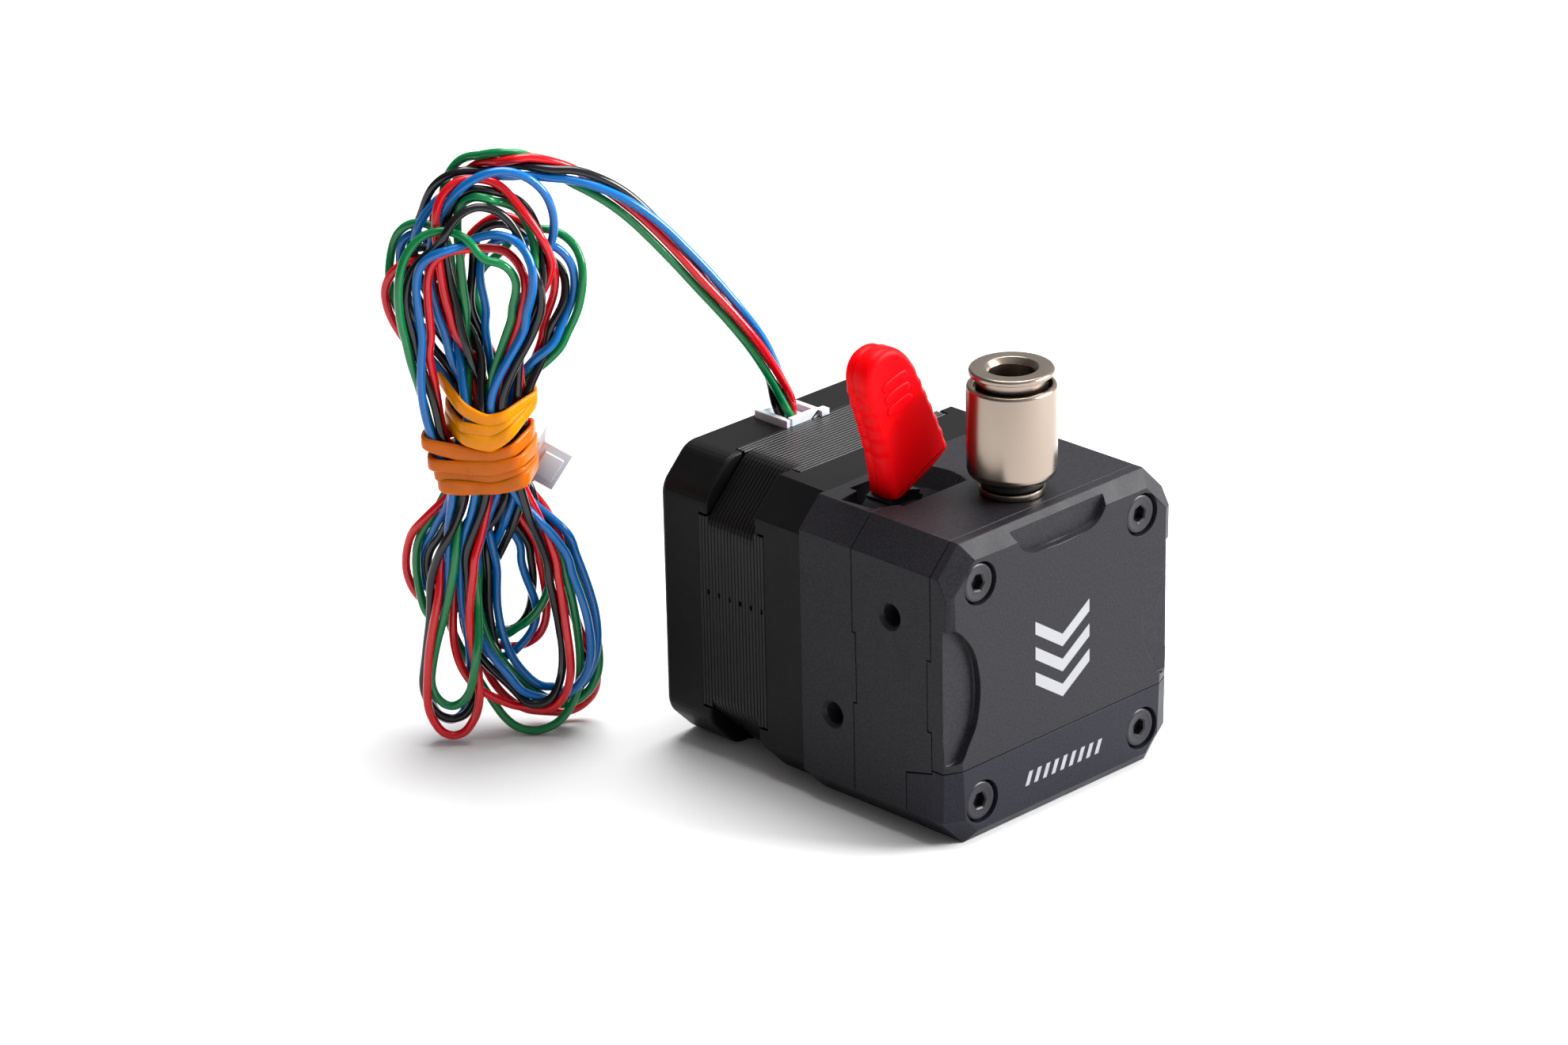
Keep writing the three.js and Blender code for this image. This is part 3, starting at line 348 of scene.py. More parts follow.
# Where each wire lies at shares of the free lead: to the upper right and towards the front of its middle.
LEAD_SHARES = (0, 0.12, 0.25, 0.4, 0.55, 0.7, 0.8, 0.9, 1)
LEAD_LAY = {
    "red": ((0.8, 1.1, 0.6, 0, -0.2, -0.3, 0.3, 0.9, 0.5), (-0.7, 0.1, 0.5, 0.6, -0.1, -0.6, -0.9, 0.3, 0.7)),
    "green": ((0.8, -0.1, -0.7, -1.3, -1.5, -1.3, -1.3, 0.2, 1), (0.7, 0.6, 0.5, 0.3, 0.2, 0.3, -0.4, -0.9, -0.2)),
    "blue": ((-1, -0.1, 1.1, 1.3, 1.1, 0.3, -0.5, -1.3, -1.4), (-0.7, -0.9, -0.8, 0, 0.6, 0.8, 0.7, 0.3, 0.3)),
    "black": ((-0.6, -1.3, -0.5, 0, 0.5, 1.2, 0.9, 0, -0.3), (0.6, 0.1, -0.8, -0.9, -1.1, -0.2, 0.3, 0.6, -0.6)),
}


def in_hank(w, n, z):
    """A point across the hank (w), behind its middle (n) and up (z), in the row frame."""
    return (HANK_X + HALF_TURN * (w + n), HANK_Y + HALF_TURN * (n - w), z)


def lead_points(colour):
    """A wire's points from the near plug to the top of the hank."""
    route = np.array([(x, at(depth), z) for x, depth, z in LEAD_ROUTE])
    shares = np.linspace(0, 1, len(route))
    upper = np.cross(unit(np.gradient(route, axis=0)), -BEHIND)
    upper = unit(upper * np.sign(upper[:, 2])[:, None])
    to_upper, to_front = (np.interp(shares, LEAD_SHARES, lay) for lay in LEAD_LAY[colour])
    return list(route + to_upper[:, None] * upper - to_front[:, None] * BEHIND)


RANK_MIDDLE = (len(COLOURS) - 1) / 2
LOOP_SPAN = 3  # points between two of a loop's own
CHANGE_SHARE = 0.35  # the share of a loop over which its wires change over
CHANGE_DEPTH = 3.2  # how far they pass behind or in front of each other there
NARROWING = 0.6  # how much closer together they lie at a loop's ends
STAGGER = (0.6, -1.2, 1.2, -0.6)  # how far each place in a loop lies behind the others
STRAY_FROM = (1.7, 2.3)  # where in its turn a wire's straying starts, by loop and by wire
ROOMY_WIDTH, ROOMY_POWER = 13, 2.5  # only loops as wide as this let their wires stray freely


def loop_points(index, colour):
    """A wire's points round one of the hank's loops."""
    loop, first, second, change, spread, deep = LOOPS[index]
    number = COLOURS.index(colour)
    loop = smooth_line(loop, LOOP_SPAN)
    steps = np.gradient(loop, axis=0)
    out = unit(np.stack([steps[:, 2], np.zeros(len(loop)), -steps[:, 0]], axis=1))
    if np.sum(out * (loop - loop.mean(axis=0))) < 0:
        out = -out
    share = np.linspace(0, 1, len(loop))
    swell = np.sin(math.pi * share)
    turned = np.clip((share - change) / CHANGE_SHARE, 0, 1)
    turned = turned * turned * (3 - 2 * turned)
    here, there = (order.split().index(colour) for order in (first, second))
    rank = here + (there - here) * turned - RANK_MIDDLE
    width = spread * (1 - NARROWING * (2 * share - 1) ** 4)
    shift = np.sign(there - here) * CHANGE_DEPTH * turned * (1 - turned)
    stagger = STAGGER[here] * deep * swell
    turns = STRAY_TURNS[(index + number) % len(STRAY_TURNS)]
    stray = 2 * math.pi * turns * share + STRAY_FROM[0] * index + STRAY_FROM[1] * number
    reach = STRAY * min(1, np.ptp(loop[:, 0]) / ROOMY_WIDTH) ** ROOMY_POWER * swell ** 0.7
    moved = loop - (rank * width + reach * np.sin(stray))[:, None] * out
    moved[:, 1] += shift + stagger + 0.8 * reach * np.cos(stray)
    size = 1 + LOOP_SIZES[(index * 3 + number) % len(LOOP_SIZES)] * swell
    moved[:, 2] = WAIST + (moved[:, 2] - WAIST) * (size if index else 1)
    after_lead = 1 if index == 0 else 0  # the lead ends where the first loop starts
    return [in_hank(*p) for p in moved[after_lead:]]


CORNER = 0.66  # half the side of the square in which the four wires pass through the waist


def waist_points(index, colour):
    """A wire's points through the bands after a loop."""
    number = COLOURS.index(colour)
    dw = CORNER if number in (0, 3) else -CORNER
    dn = CORNER if number in (0, 1) else -CORNER
    through = [in_hank(w + dw, n + dn, z) for w, n, z in SLOTS[index]]
    return through if index % 2 == 0 else through[::-1]


PLUG_PITCH = 1.25
PLUG_STAGGER = 0.5
PLUG_LEAN = 0.3


def end_points(colour):
    """A wire's points from the last loop to the far plug, where the four lie side by side."""
    side = (COLOURS.index(colour) - RANK_MIDDLE) * PLUG_PITCH
    points = []
    for index, (w, n, z) in enumerate(PLUG_END):
        flat = min(1, index / 2)
        behind = PLUG_STAGGER * (1 - flat) * math.copysign(1, side)
        points.append(in_hank(w - PLUG_LEAN * side * flat, n + behind, z + side * (0.5 + 0.5 * flat)))
    return points


def wire_points(colour):
    """A wire's own control points from the near plug to the far one."""
    points = lead_points(colour)
    for index in range(len(LOOPS)):
        points += loop_points(index, colour)
        if index < len(SLOTS):
            points += waist_points(index, colour)
    return points + end_points(colour)


BLOCK = 1000
NEXT_TO = 6


def neighbours(points, wire, reach):
    """Pairs of points nearer than reach that aren't next to each other on one wire."""
    first, second = [], []
    square = (points**2).sum(axis=1)
    for start in range(0, len(points), BLOCK):
        block = points[start:start + BLOCK]
        gap = square[start:start + BLOCK, None] + square[None, start:] - 2 * block @ points[start:].T
        a, b = np.nonzero(gap < reach * reach)
        a, b = a + start, b + start
        apart = (b > a) & ((wire[a] != wire[b]) | (b - a > NEXT_TO))
        first.append(a[apart])
        second.append(b[apart])
    return np.concatenate(first), np.concatenate(second)


TINY = 1e-6
CROWDING = 0.45
EASE = 0.3


def push_apart(points, a, b):
    """Moves points that lie too near each other apart, and less where many meet."""
    gap = points[b] - points[a]
    far = np.maximum(np.linalg.norm(gap, axis=1), TINY)
    short = np.maximum(WIRE_GAP - far, 0)
    push = gap / far[:, None] * (0.5 * short)[:, None]
    hit = short > 0
    a, b, push = a[hit], b[hit], push[hit]
    size = len(points)
    moved = np.stack([np.bincount(b, column, size) - np.bincount(a, column, size) for column in push.T], axis=1)
    count = np.bincount(a, minlength=size) + np.bincount(b, minlength=size)
    points += moved / np.maximum(1, count * CROWDING)[:, None]


def ease_bends(points, middle):
    """Opens the bends that are tighter than the least one."""
    before, after = middle - BEND_SPAN, middle + BEND_SPAN
    sagitta = (BEND_SPAN * WIRE_STEP) ** 2 / (2 * LEAST_BEND)
    bow = 0.5 * (points[before] + points[after]) - points[middle]
    size = np.maximum(np.linalg.norm(bow, axis=1), TINY)
    ease = bow * (np.maximum(size - sagitta, 0) / size)[:, None]
    points[middle] += EASE * ease
    points[before] -= EASE / 2 * ease
    points[after] -= EASE / 2 * ease


WAIST_HALF = (5.6, 4.4)  # across and behind
WAIST_MIDDLE = -1.2
WAIST_SPAN = (35.5, 50.5)
WAIST_FADE = 1.5  # the height over which the bands let go of the wires
LEFT_ROOM = 2.6  # more room to the left, from LEFT_FOOT_Z up
LEFT_FOOT_Z, LEFT_FADE = 42, 4
FREE = 40


def keep_in_bands(points, back):
    """Moves the wires into the room that the bands leave them; the back row may lie further back."""
    from_centre = points - (HANK_X, HANK_Y, 0)
    w = from_centre @ ACROSS - WAIST_MIDDLE
    n = from_centre @ BEHIND
    z = points[:, 2]
    foot, top = WAIST_SPAN
    free = FREE * (1 - np.clip(np.minimum(z - foot, top - z) / WAIST_FADE, 0, 1))
    over = np.maximum(w - WAIST_HALF[0] - free, 0)
    under = np.minimum(w + WAIST_HALF[0] + free + LEFT_ROOM * np.clip((z - LEFT_FOOT_Z) / LEFT_FADE, 0, 1), 0)
    deep = np.sign(n) * np.maximum(np.abs(n) - WAIST_HALF[1] - free, 0)
    deep[back] = 0
    points -= 0.5 * ((over + under)[:, None] * ACROSS + deep[:, None] * BEHIND)


RELAX_ROUNDS, LAST_ROUNDS = 200, 40
LOOK_EVERY, LOOK_REACH = 8, 2.2  # how often neighbours are looked for again, and how far away
SOFTNESS, LAST_SOFT = 0.5, 0.12
HELD_START, HELD_END = 14, 8  # points that stay in place
BACK_POINTS = 30  # points before the far plug that lie behind the bands
FLOOR_GAP = 0.02


def relax(lines):
    """Pushes the wires out of each other, and keeps them smooth and in their bands."""
    sizes = [len(line) for line in lines]
    ends = np.cumsum(sizes)
    starts = ends - sizes
    wire = np.repeat(np.arange(len(lines)), sizes)
    points = np.concatenate(lines)
    rest = points.copy()
    held = np.zeros(len(points), bool)
    back = np.zeros(len(points), bool)
    for start, end in zip(starts, ends):
        held[start:start + HELD_START] = True
        held[end - HELD_END:end] = True
        back[end - BACK_POINTS:end] = True
    inside, middle = (
        np.concatenate([np.arange(start + margin, end - margin) for start, end in zip(starts, ends)])
        for margin in (1, BEND_SPAN)
    )
    for turn in range(RELAX_ROUNDS):
        if turn % LOOK_EVERY == 0:
            a, b = neighbours(points, wire, LOOK_REACH)
        push_apart(points, a, b)
        shift = points - rest
        softness = SOFTNESS if turn < RELAX_ROUNDS - LAST_ROUNDS else LAST_SOFT
        points[inside] += softness * (0.5 * (shift[inside - 1] + shift[inside + 1]) - shift[inside])
        ease_bends(points, middle)
        keep_in_bands(points, back)
        points[:, 2] = np.clip(points[:, 2], WIRE_D / 2 + FLOOR_GAP, HIGHEST)
        points[held] = rest[held]
    return [points[start:end] for start, end in zip(starts, ends)]


def wire_curve(colour, line):
    data = bpy.data.curves.new(f"wire_{colour}", "CURVE")
    data.dimensions = "3D"
    data.bevel_depth = WIRE_D / 2 * MM
    data.bevel_resolution = 3
    data.use_fill_caps = True
    spline = data.splines.new("NURBS")
    spline.points.add(len(line) - 1)
    spline.points.foreach_set("co", [c for x, y, z in line for c in (x * MM, y * MM, z * MM, 1)])
    spline.use_endpoint_u = True
    spline.resolution_u = 2
    data.materials.append(JACKETS[colour])
    wire = show(f"wire_{colour}", data)
    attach(wire, "housing")
    return wire


# ---- the hank's bands
def hull_of(points):
    """The convex hull of (x, y) points, anticlockwise."""
    points = sorted(set(map(tuple, points)))
    halves = []
    for run in (points, points[::-1]):
        half = []
        for x, y in run:
            while len(half) > 1:
                (ax, ay), (bx, by) = half[-2:]
                if (bx - ax) * (y - ay) - (by - ay) * (x - ax) > 0:
                    break
                half.pop()
            half.append((x, y))
        halves.append(half[:-1])
    return halves[0] + halves[1]


RIM, PATH_POINTS, SECTION = 12, 120, 14
SQUARENESS = 0.6  # below 1, a strand's section is squarer than an ellipse
STRAND_HALF = (0.36, 1.0)  # thickness and height
STRAND_WAVE = 0.12
STRAND_RIGHT, STRAND_BACK = 12, 5.4  # wires beyond these aren't in the bands


def strand_path(w, n, reach):
    """A closed line pulled tight round circles about the points, and how far along its points lie."""
    rim = [2 * math.pi * k / RIM for k in range(RIM)]
    spots = [(a + reach * math.cos(t), b + reach * math.sin(t)) for a, b in zip(w, n) for t in rim]
    hull = np.array(hull_of(np.round(spots, 4)))
    path, places = spread(np.vstack([hull, hull[:1]]), PATH_POINTS, closed=True)
    for _ in range(3):
        path = 0.5 * path + 0.25 * (np.roll(path, 1, axis=0) + np.roll(path, -1, axis=0))
    return path, places


def band_strand(lines, z_front, lift_left, lift_right, layer, left_limit):
    """One strand of a rubber band, pulled tight round the wires at its height."""
    wires = np.concatenate(lines) - (HANK_X, HANK_Y, 0)
    w = HALF_TURN * (wires[:, 0] - wires[:, 1])
    n = HALF_TURN * (wires[:, 0] + wires[:, 1])

    def height(across):
        left = np.clip(-across / 6, 0, 1.6) ** 1.4
        right = np.clip(across / 5, 0, 1.6) ** 1.4
        return z_front + lift_left * left + lift_right * right

    half_thick, half_tall = STRAND_HALF
    near = np.abs(wires[:, 2] - height(w)) < 1.5
    near &= (w > left_limit) & (w < STRAND_RIGHT) & (n < STRAND_BACK)
    path, places = strand_path(w[near], n[near], WIRE_D / 2 + half_thick + 0.05 + layer)
    rings = []
    for (pw, pn), (ow, on), place in zip(path, -leftwards(path), places):
        wide = half_tall * (1 + STRAND_WAVE * math.sin(3 * place / 5 + z_front))
        ring = []
        for side in range(SECTION):
            angle = 2 * math.pi * side / SECTION
            c, s = math.cos(angle), math.sin(angle)
            out = math.copysign(abs(c) ** SQUARENESS, c) * half_thick
            up = math.copysign(abs(s) ** SQUARENESS, s) * wide
            ring.append(in_hank(pw + ow * out, pn + on * out, height(pw) + up))
        rings.append(ring)
    return stacked(rings, closed=True)


# Each strand: z at the front, how far it rises to the left and to the right, and how far out it lies.
UPPER_STRANDS = ((47.6, 3.6, 1.2, 0.0), (45.9, 1.2, 2.2, 0.1), (44.4, 1.5, 3.4, 0.35))
LOWER_STRANDS = ((42.4, 0.9, 1.7, 0.0), (40.8, 0.2, 1.2, 0.3), (39.3, 0.3, 0.5, 0.05), (37.9, 0.2, 1.4, 0.32))


def make_bands(lines):
    # The lower band takes the darker amber finish, which is painted shade on the same rubber as the upper band.
    bands = (("upper_band", UPPER_STRANDS, -6.1, "amber_rubber"), ("lower_band", LOWER_STRANDS, -20, "dark_amber"))
    for node, strands, left_limit, look in bands:
        shape = joined(*(band_strand(lines, *strand, left_limit) for strand in strands))
        yield stand_in(node, shape, "amber_rubber", angle=60, material=FINISHES[look])


# ---- the lead's plugs
def block(x0, x1, y0, y1, z0, z1):
    points = [(x, y, z) for z in (z0, z1) for x, y in ((x0, y0), (x1, y0), (x1, y1), (x0, y1))]
    return points, [(3, 2, 1, 0), (4, 5, 6, 7), (0, 1, 5, 4), (1, 2, 6, 5), (2, 3, 7, 6), (3, 0, 4, 7)]


def softened(node, shapes, width):
    """Boxes with rounded edges in a CAD node's place, as one piece of nylon."""
    mesh = mesh_of(node, *joined(*shapes))
    shape = bmesh.new()
    shape.from_mesh(mesh)
    bevel_edges(shape, shape.edges[:], width, 3)
    shape.to_mesh(mesh)
    shape.free()
    smooth(mesh, 40)
    return put("visual_" + node, mesh, "white_nylon", "housing", [node])


PLUG_MIDDLE = (7.1, 6.4, 37.4)
PLUG_TILT = math.radians(-32)
PLUG_BLOCKS = ((-2.2, 2.2, -2.8, 2.8, -2.9, 2.9), (-1.4, 1.5, -3.3, -2.7, -1.8, 1.8))  # its body and its rib


def make_far_plug():
    """A four-way plug on the wires' ends, with a rib down its front."""
    c, s = math.cos(PLUG_TILT), math.sin(PLUG_TILT)
    w, n, z = PLUG_MIDDLE
    shapes = []
    for sizes in PLUG_BLOCKS:
        points, faces = block(*sizes)
        shapes.append(([in_hank(w + u * c - v * s, n + back, z + u * s + v * c) for u, back, v in points], faces))
    return softened("cord_plug", shapes, 0.15)


CELL_X, CELL_WIDTH, CELL_PITCH = -3.4, 1.1, 1.15
CELL_DEPTHS = (47.35, 51.6)


def make_near_plug():
    """The plug in the motor's socket: four cells side by side under the wires."""
    front, back = map(at, CELL_DEPTHS)
    cells = [CELL_X + CELL_PITCH * k for k in range(len(COLOURS))]
    shapes = [block(x, x + CELL_WIDTH, front, back, 40.1, 42.45) for x in cells]
    shapes.append(block(-3.38, 1.13, front + 0.2, back - 0.2, 40.2, 42.2))
    return softened("lead_plug", shapes, 0.1)


def make_lead():
    lines = [smooth_line(wire_points(colour)) for colour in COLOURS]
    lines = relax([spread(line, int(round(run_along(line)[-1] / WIRE_STEP)) + 1)[0] for line in lines])
    bands = list(make_bands(lines))
    far_plug = make_far_plug()
    near_plug = make_near_plug()
    for colour, line in zip(COLOURS, lines):
        wire = wire_curve(colour, line)
        if colour == "red":
            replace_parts(wire, "cord_lead", "cord_hank")


# ---- mesh helpers
def put(name, mesh, slot, body="housing", stands_for=(), material=None):
    """Shows a mesh, in metres in the row frame, as a piece that rides on a body."""
    thing = show(name, mesh)
    mesh.materials.clear()
    mesh.materials.append(material or FINISHES[slot])
    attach(thing, body)
    if stands_for:
        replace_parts(thing, *stands_for)
    return thing


def stand_in(node, shape, slot, body="housing", angle=38, material=None):
    """Shows a (points, faces) shape in a CAD node's place."""
    return put("visual_" + node, mesh_of(node, *shape, angle=angle), slot, body, [node], material)


def smooth(mesh, angle):
    """Smooth shading, with sharp edges where faces meet at more than the angle."""
    mesh.polygons.foreach_set("use_smooth", [True] * len(mesh.polygons))
    mesh.set_sharp_from_angle(angle=math.radians(angle))


def mesh_of(name, points, faces, angle=38):
    """A closed mesh with its faces turned outwards."""
    mesh = bpy.data.meshes.new(name)
    mesh.from_pydata([tuple(c * MM for c in p) for p in points], [], faces)
    shape = bmesh.new()
    shape.from_mesh(mesh)
    bmesh.ops.remove_doubles(shape, verts=shape.verts, dist=1e-7)
    bmesh.ops.recalc_face_normals(shape, faces=shape.faces)
    shape.to_mesh(mesh)
    shape.free()
    smooth(mesh, angle)
    return mesh


def stacked(rings, closed=False):
    """Faces over rings of equally many points, capped at both ends unless the stack is closed."""
    count = len(rings[0])
    points = [p for ring in rings for p in ring]
    pairs = [(ring, ring + 1) for ring in range(len(rings) - 1)]
    if closed:
        pairs.append((len(rings) - 1, 0))
    faces = []
    for low, high in pairs:
        for i in range(count):
            j = (i + 1) % count
            faces.append((low * count + i, low * count + j, high * count + j, high * count + i))
    if not closed:
        faces.append(tuple(range(count))[::-1])
        faces.append(tuple((len(rings) - 1) * count + i for i in range(count)))
    return points, faces


def joined(*shapes):
    """Several (points, faces) shapes as one."""
    points, faces = [], []
    for some_points, some_faces in shapes:
        base = len(points)
        points += list(some_points)
        faces += [tuple(base + i for i in face) for face in some_faces]
    return points, faces


def turned_up(profile, sides=96):
    """A closed profile of (radius, z) turned about the tube fitting's axis."""
    angles = [2 * math.pi * i / sides for i in range(sides)]
    rings = [[(r * math.cos(a), at(FITTING_DEPTH) + r * math.sin(a), z) for r, z in profile] for a in angles]
    return stacked(rings, closed=True)


def rounded(profile, radius, steps=4):
    """A closed profile with each corner replaced by a small curve."""
    points = [np.array(p, float) for p in profile]
    result = []
    for before, corner, after in zip(points[-1:] + points[:-1], points, points[1:] + points[:1]):
        to_before, to_after = before - corner, after - corner
        long_before, long_after = np.linalg.norm(to_before), np.linalg.norm(to_after)
        reach = min(radius, 0.4 * long_before, 0.4 * long_after)
        start = corner + to_before / long_before * reach
        end = corner + to_after / long_after * reach
        for t in np.linspace(0, 1, steps):
            result.append(tuple((1 - t) ** 2 * start + 2 * t * (1 - t) * corner + t**2 * end))
    return result


LARGE_FACE = 4.0  # mm2


def flatten_large(shape):
    """Flat shading for the faces that lie in a large plane, smooth shading for the rest."""
    shape.normal_update()
    planes = {}
    for face in shape.faces:
        offset = face.normal.dot(face.verts[0].co) / MM
        key = (*(round(c, 2) for c in face.normal), round(offset, 1))
        planes.setdefault(key, []).append(face)
    for faces in planes.values():
        small = sum(face.calc_area() for face in faces) < LARGE_FACE * MM * MM
        for face in faces:
            face.smooth = small


def cut_away(mesh, cutters):
    """The mesh less the cutters, each a (points, faces) shape."""
    thing = show("cut", mesh)
    tools = [show(f"cutter_{index}", mesh_of("cutter", *cutter)) for index, cutter in enumerate(cutters)]
    for tool in tools:
        boolean = thing.modifiers.new("cut", "BOOLEAN")
        boolean.object = tool
    bpy.context.view_layer.update()
    result = bpy.data.meshes.new_from_object(thing.evaluated_get(bpy.context.evaluated_depsgraph_get()))
    for tool in [thing, *tools]:
        bpy.data.objects.remove(tool)
    return result


def spot(vertex):
    return tuple(round(c / MM, 2) for c in vertex.co)


SHARP_ANGLE = math.radians(32)
SHORTEST_EDGE = 0.3


def sharp_edges(shape):
    """Edges that show as corners, leaving out the facets of rounds."""
    return [
        e for e in shape.edges
        if e.is_manifold and e.calc_length() > SHORTEST_EDGE * MM and e.calc_face_angle(0) > SHARP_ANGLE
    ]


def bevel_edges(shape, edges, width, steps):
    bmesh.ops.bevel(
        shape, geom=edges, offset=width * MM, segments=steps, profile=0.5, affect="EDGES", clamp_overlap=False,
    )


FLAT_ANGLE = math.radians(1.5)
SHADED_ANGLE = math.radians(33)


def remade(node, slot, body="housing", bevel=0.14, wide=(), move=None, cutters=()):
    """A CAD node's shape with whole flat faces and rounded edges."""
    source = NODES[node]
    shape = bmesh.new()
    shape.from_mesh(source.data)
    shape.transform(source.matrix_world)
    bmesh.ops.remove_doubles(shape, verts=shape.verts, dist=2e-6)
    corners = {spot(v) for v in shape.verts}
    if cutters:
        whole = bpy.data.meshes.new("whole")
        shape.to_mesh(whole)
        shape.clear()
        shape.from_mesh(cut_away(whole, cutters))
    bmesh.ops.dissolve_limit(shape, angle_limit=FLAT_ANGLE, verts=shape.verts, edges=shape.edges)
    for chosen, width in wide:
        bevel_edges(shape, [e for e in sharp_edges(shape) if chosen(*(v.co / MM for v in e.verts))], width, 4)
        corners = {spot(v) for v in shape.verts}
    bevel_edges(shape, [e for e in sharp_edges(shape) if any(spot(v) in corners for v in e.verts)], bevel, 3)
    if move:
        for vertex in shape.verts:
            vertex.co = Vector(move(*(vertex.co / MM))) * MM
    bmesh.ops.triangulate(shape, faces=[f for f in shape.faces if len(f.verts) > 4])
    flatten_large(shape)
    smoothed = [face.smooth for face in shape.faces]
    mesh = bpy.data.meshes.new(node)
    shape.to_mesh(mesh)
    shape.free()
    imported = mesh.attributes.get("custom_normal")
    if imported:
        mesh.attributes.remove(imported)
    mesh.set_sharp_from_angle(angle=SHADED_ANGLE)
    mesh.polygons.foreach_set("use_smooth", smoothed)
    return put("visual_" + node, mesh, slot, body, [node])


# ---- cover, housings and their screws
SINK = 0.03  # the cover's face lies this far back, so that the marks on it stay inside the body


def sunk(x, y, z):
    return (x, max(y, at(SINK)), z)


# The middle of each pocket's slope, as (x, z).
TOP_POCKET = (
    (-10.2, 45.2), (-9.35, 43), (-8.4, 40.6), (-7.2, 38.9), (-5.4, 37.95), (-2, 37.85),
    (2, 37.85), (5.4, 37.95), (7.2, 38.9), (8.4, 40.6), (9.35, 43), (10.2, 45.2),
)
SIDE_POCKET = (
    (-24, 31.3), (-21.8, 31.3), (-20.1, 31.15), (-18.25, 29.4), (-16.85, 27.2), (-16.15, 24.6), (-15.9, 22.1),
    (-16.05, 19.6), (-16.55, 17.2), (-17.85, 14.9), (-19.35, 12.7), (-21.8, 12.4), (-24, 12.4),
)
# A pocket's slope: how deep, and how much wider than the outline there.
POCKET_SLOPE = ((-1.0, 0.34), (0.0, 0.34), (0.08, 0.26), (0.95, 0.2), (1.13, 0.02))
SMALL_BEVEL = 0.1


def pocket(outline):
    """A finger pocket with sloping sides and a rounded foot, to cut out of the cover."""
    line = smooth_line([(x, 0, z) for x, z in outline], per_span=8)[:, (0, 2)]
    outward = unit(line - line.mean(axis=0))
    return stacked([[(x, at(depth), z) for x, z in line + outward * wider] for depth, wider in POCKET_SLOPE])


def make_housings():
    mirrored = [(-x, z) for x, z in SIDE_POCKET[::-1]]
    pockets = [pocket(outline) for outline in (TOP_POCKET, SIDE_POCKET, mirrored)]
    remade("front_cover", "graphite", bevel=SMALL_BEVEL, move=sunk, cutters=pockets)
    remade("lower_front_plate", "blue_black", bevel=SMALL_BEVEL, move=sunk)
    remade("gear_housing", "graphite", bevel=SMALL_BEVEL)
    remade("rear_housing", "graphite", bevel=SMALL_BEVEL)


def facing_ring(x, z, depth, radius, sides=48):
    """A ring of points about (x, z), whose radius is a function of the angle."""
    return [
        (x + radius(a) * math.cos(a), at(depth), z + radius(a) * math.sin(a))
        for a in (2 * math.pi * i / sides for i in range(sides))
    ]


def hexagon(apothem, turn):
    sixth = math.pi / 3
    return lambda a: apothem / math.cos((a + turn) % sixth - sixth / 2)


def circle(radius):
    return lambda a: radius


SCREWS = ((-15.5, 36.7, 0.2), (15.5, 36.7, 0.75), (15.5, 5.7, 0.5), (-15.5, 5.7, 0.05))  # x, z and turn
SOCKET_FLOOR, SOCKET_POINT = 1.4, 0.05
SCREW_SOCKET = ((1.55, 0.95), (0.62, 0.99), (0.47, 1.12), (0.4, 1.2))  # depth and half width
SCREW_OUTSIDE = (  # depth and radius
    (0.4, 1.9), (0.34, 2.05), (0.32, 2.4), (0.38, 2.55), (0.52, 2.68), (0.7, 2.7), (2.3, 2.7), (2.3, 1.5), (30.5, 1.5),
)


def make_cover_screws():
    for number, (x, z, turn) in enumerate(SCREWS, 1):
        rings = [facing_ring(x, z, SOCKET_FLOOR, circle(SOCKET_POINT))]
        rings += [facing_ring(x, z, depth, hexagon(apothem, turn)) for depth, apothem in SCREW_SOCKET]
        rings += [facing_ring(x, z, depth, circle(radius)) for depth, radius in SCREW_OUTSIDE]
        stand_in(f"cover_screw_{number}", stacked(rings), "black_steel", angle=30)


# ---- marks on the cover
MARK_DEPTHS = (0.005, 0.6)
CHEVRON_HEIGHTS, CHEVRON_HALF, TIPS = (18.3, 21.9, 25.5), 5.2, (0.7, 2.5)
FOOT, NOTCH = -2.7, -0.9
DASHES = [-7.3 + 1.68 * k for k in range(9)]
DASH_WIDTH, DASH_SLANT, DASH_SPAN = 0.75, 0.8, (5, 6.9)


def flat_shape(outline, depth0, depth1):
    """An outline of (x, z) points between two depths."""
    return stacked([[(x, at(depth), z) for x, z in outline] for depth in (depth0, depth1)])


def rectangle(x0, x1, z0, z1):
    return [(x0, z0), (x1, z0), (x1, z1), (x0, z1)]


def stroke(x0, z0, x1, z1, width):
    """A straight line's outline, with square ends."""
    length = math.hypot(x1 - x0, z1 - z0)
    dx, dz = (x1 - x0) / length * width / 2, (z1 - z0) / length * width / 2
    return [(x0 + dz, z0 - dx), (x1 + dz, z1 - dx), (x1 - dz, z1 + dx), (x0 - dz, z0 + dx)]


def make_marks():
    arms = []
    for z in CHEVRON_HEIGHTS:
        low, high = (z + rise for rise in TIPS)
        for x in (-CHEVRON_HALF, CHEVRON_HALF):
            arms.append(flat_shape(((0, z + FOOT), (x, low), (x, high), (0, z + NOTCH)), *MARK_DEPTHS))
    dashes = []
    foot, top = DASH_SPAN
    for x in DASHES:
        outline = ((x, foot), (x + DASH_WIDTH, foot), (x + DASH_WIDTH + DASH_SLANT, top), (x + DASH_SLANT, top))
        dashes.append(flat_shape(outline, *MARK_DEPTHS))
    for name, shapes, slot in (("cover_mark", arms, "graphite"), ("plate_mark", dashes, "blue_black")):
        put(name, mesh_of(name, *joined(*shapes)), slot, material=FINISHES["pale_mark"])


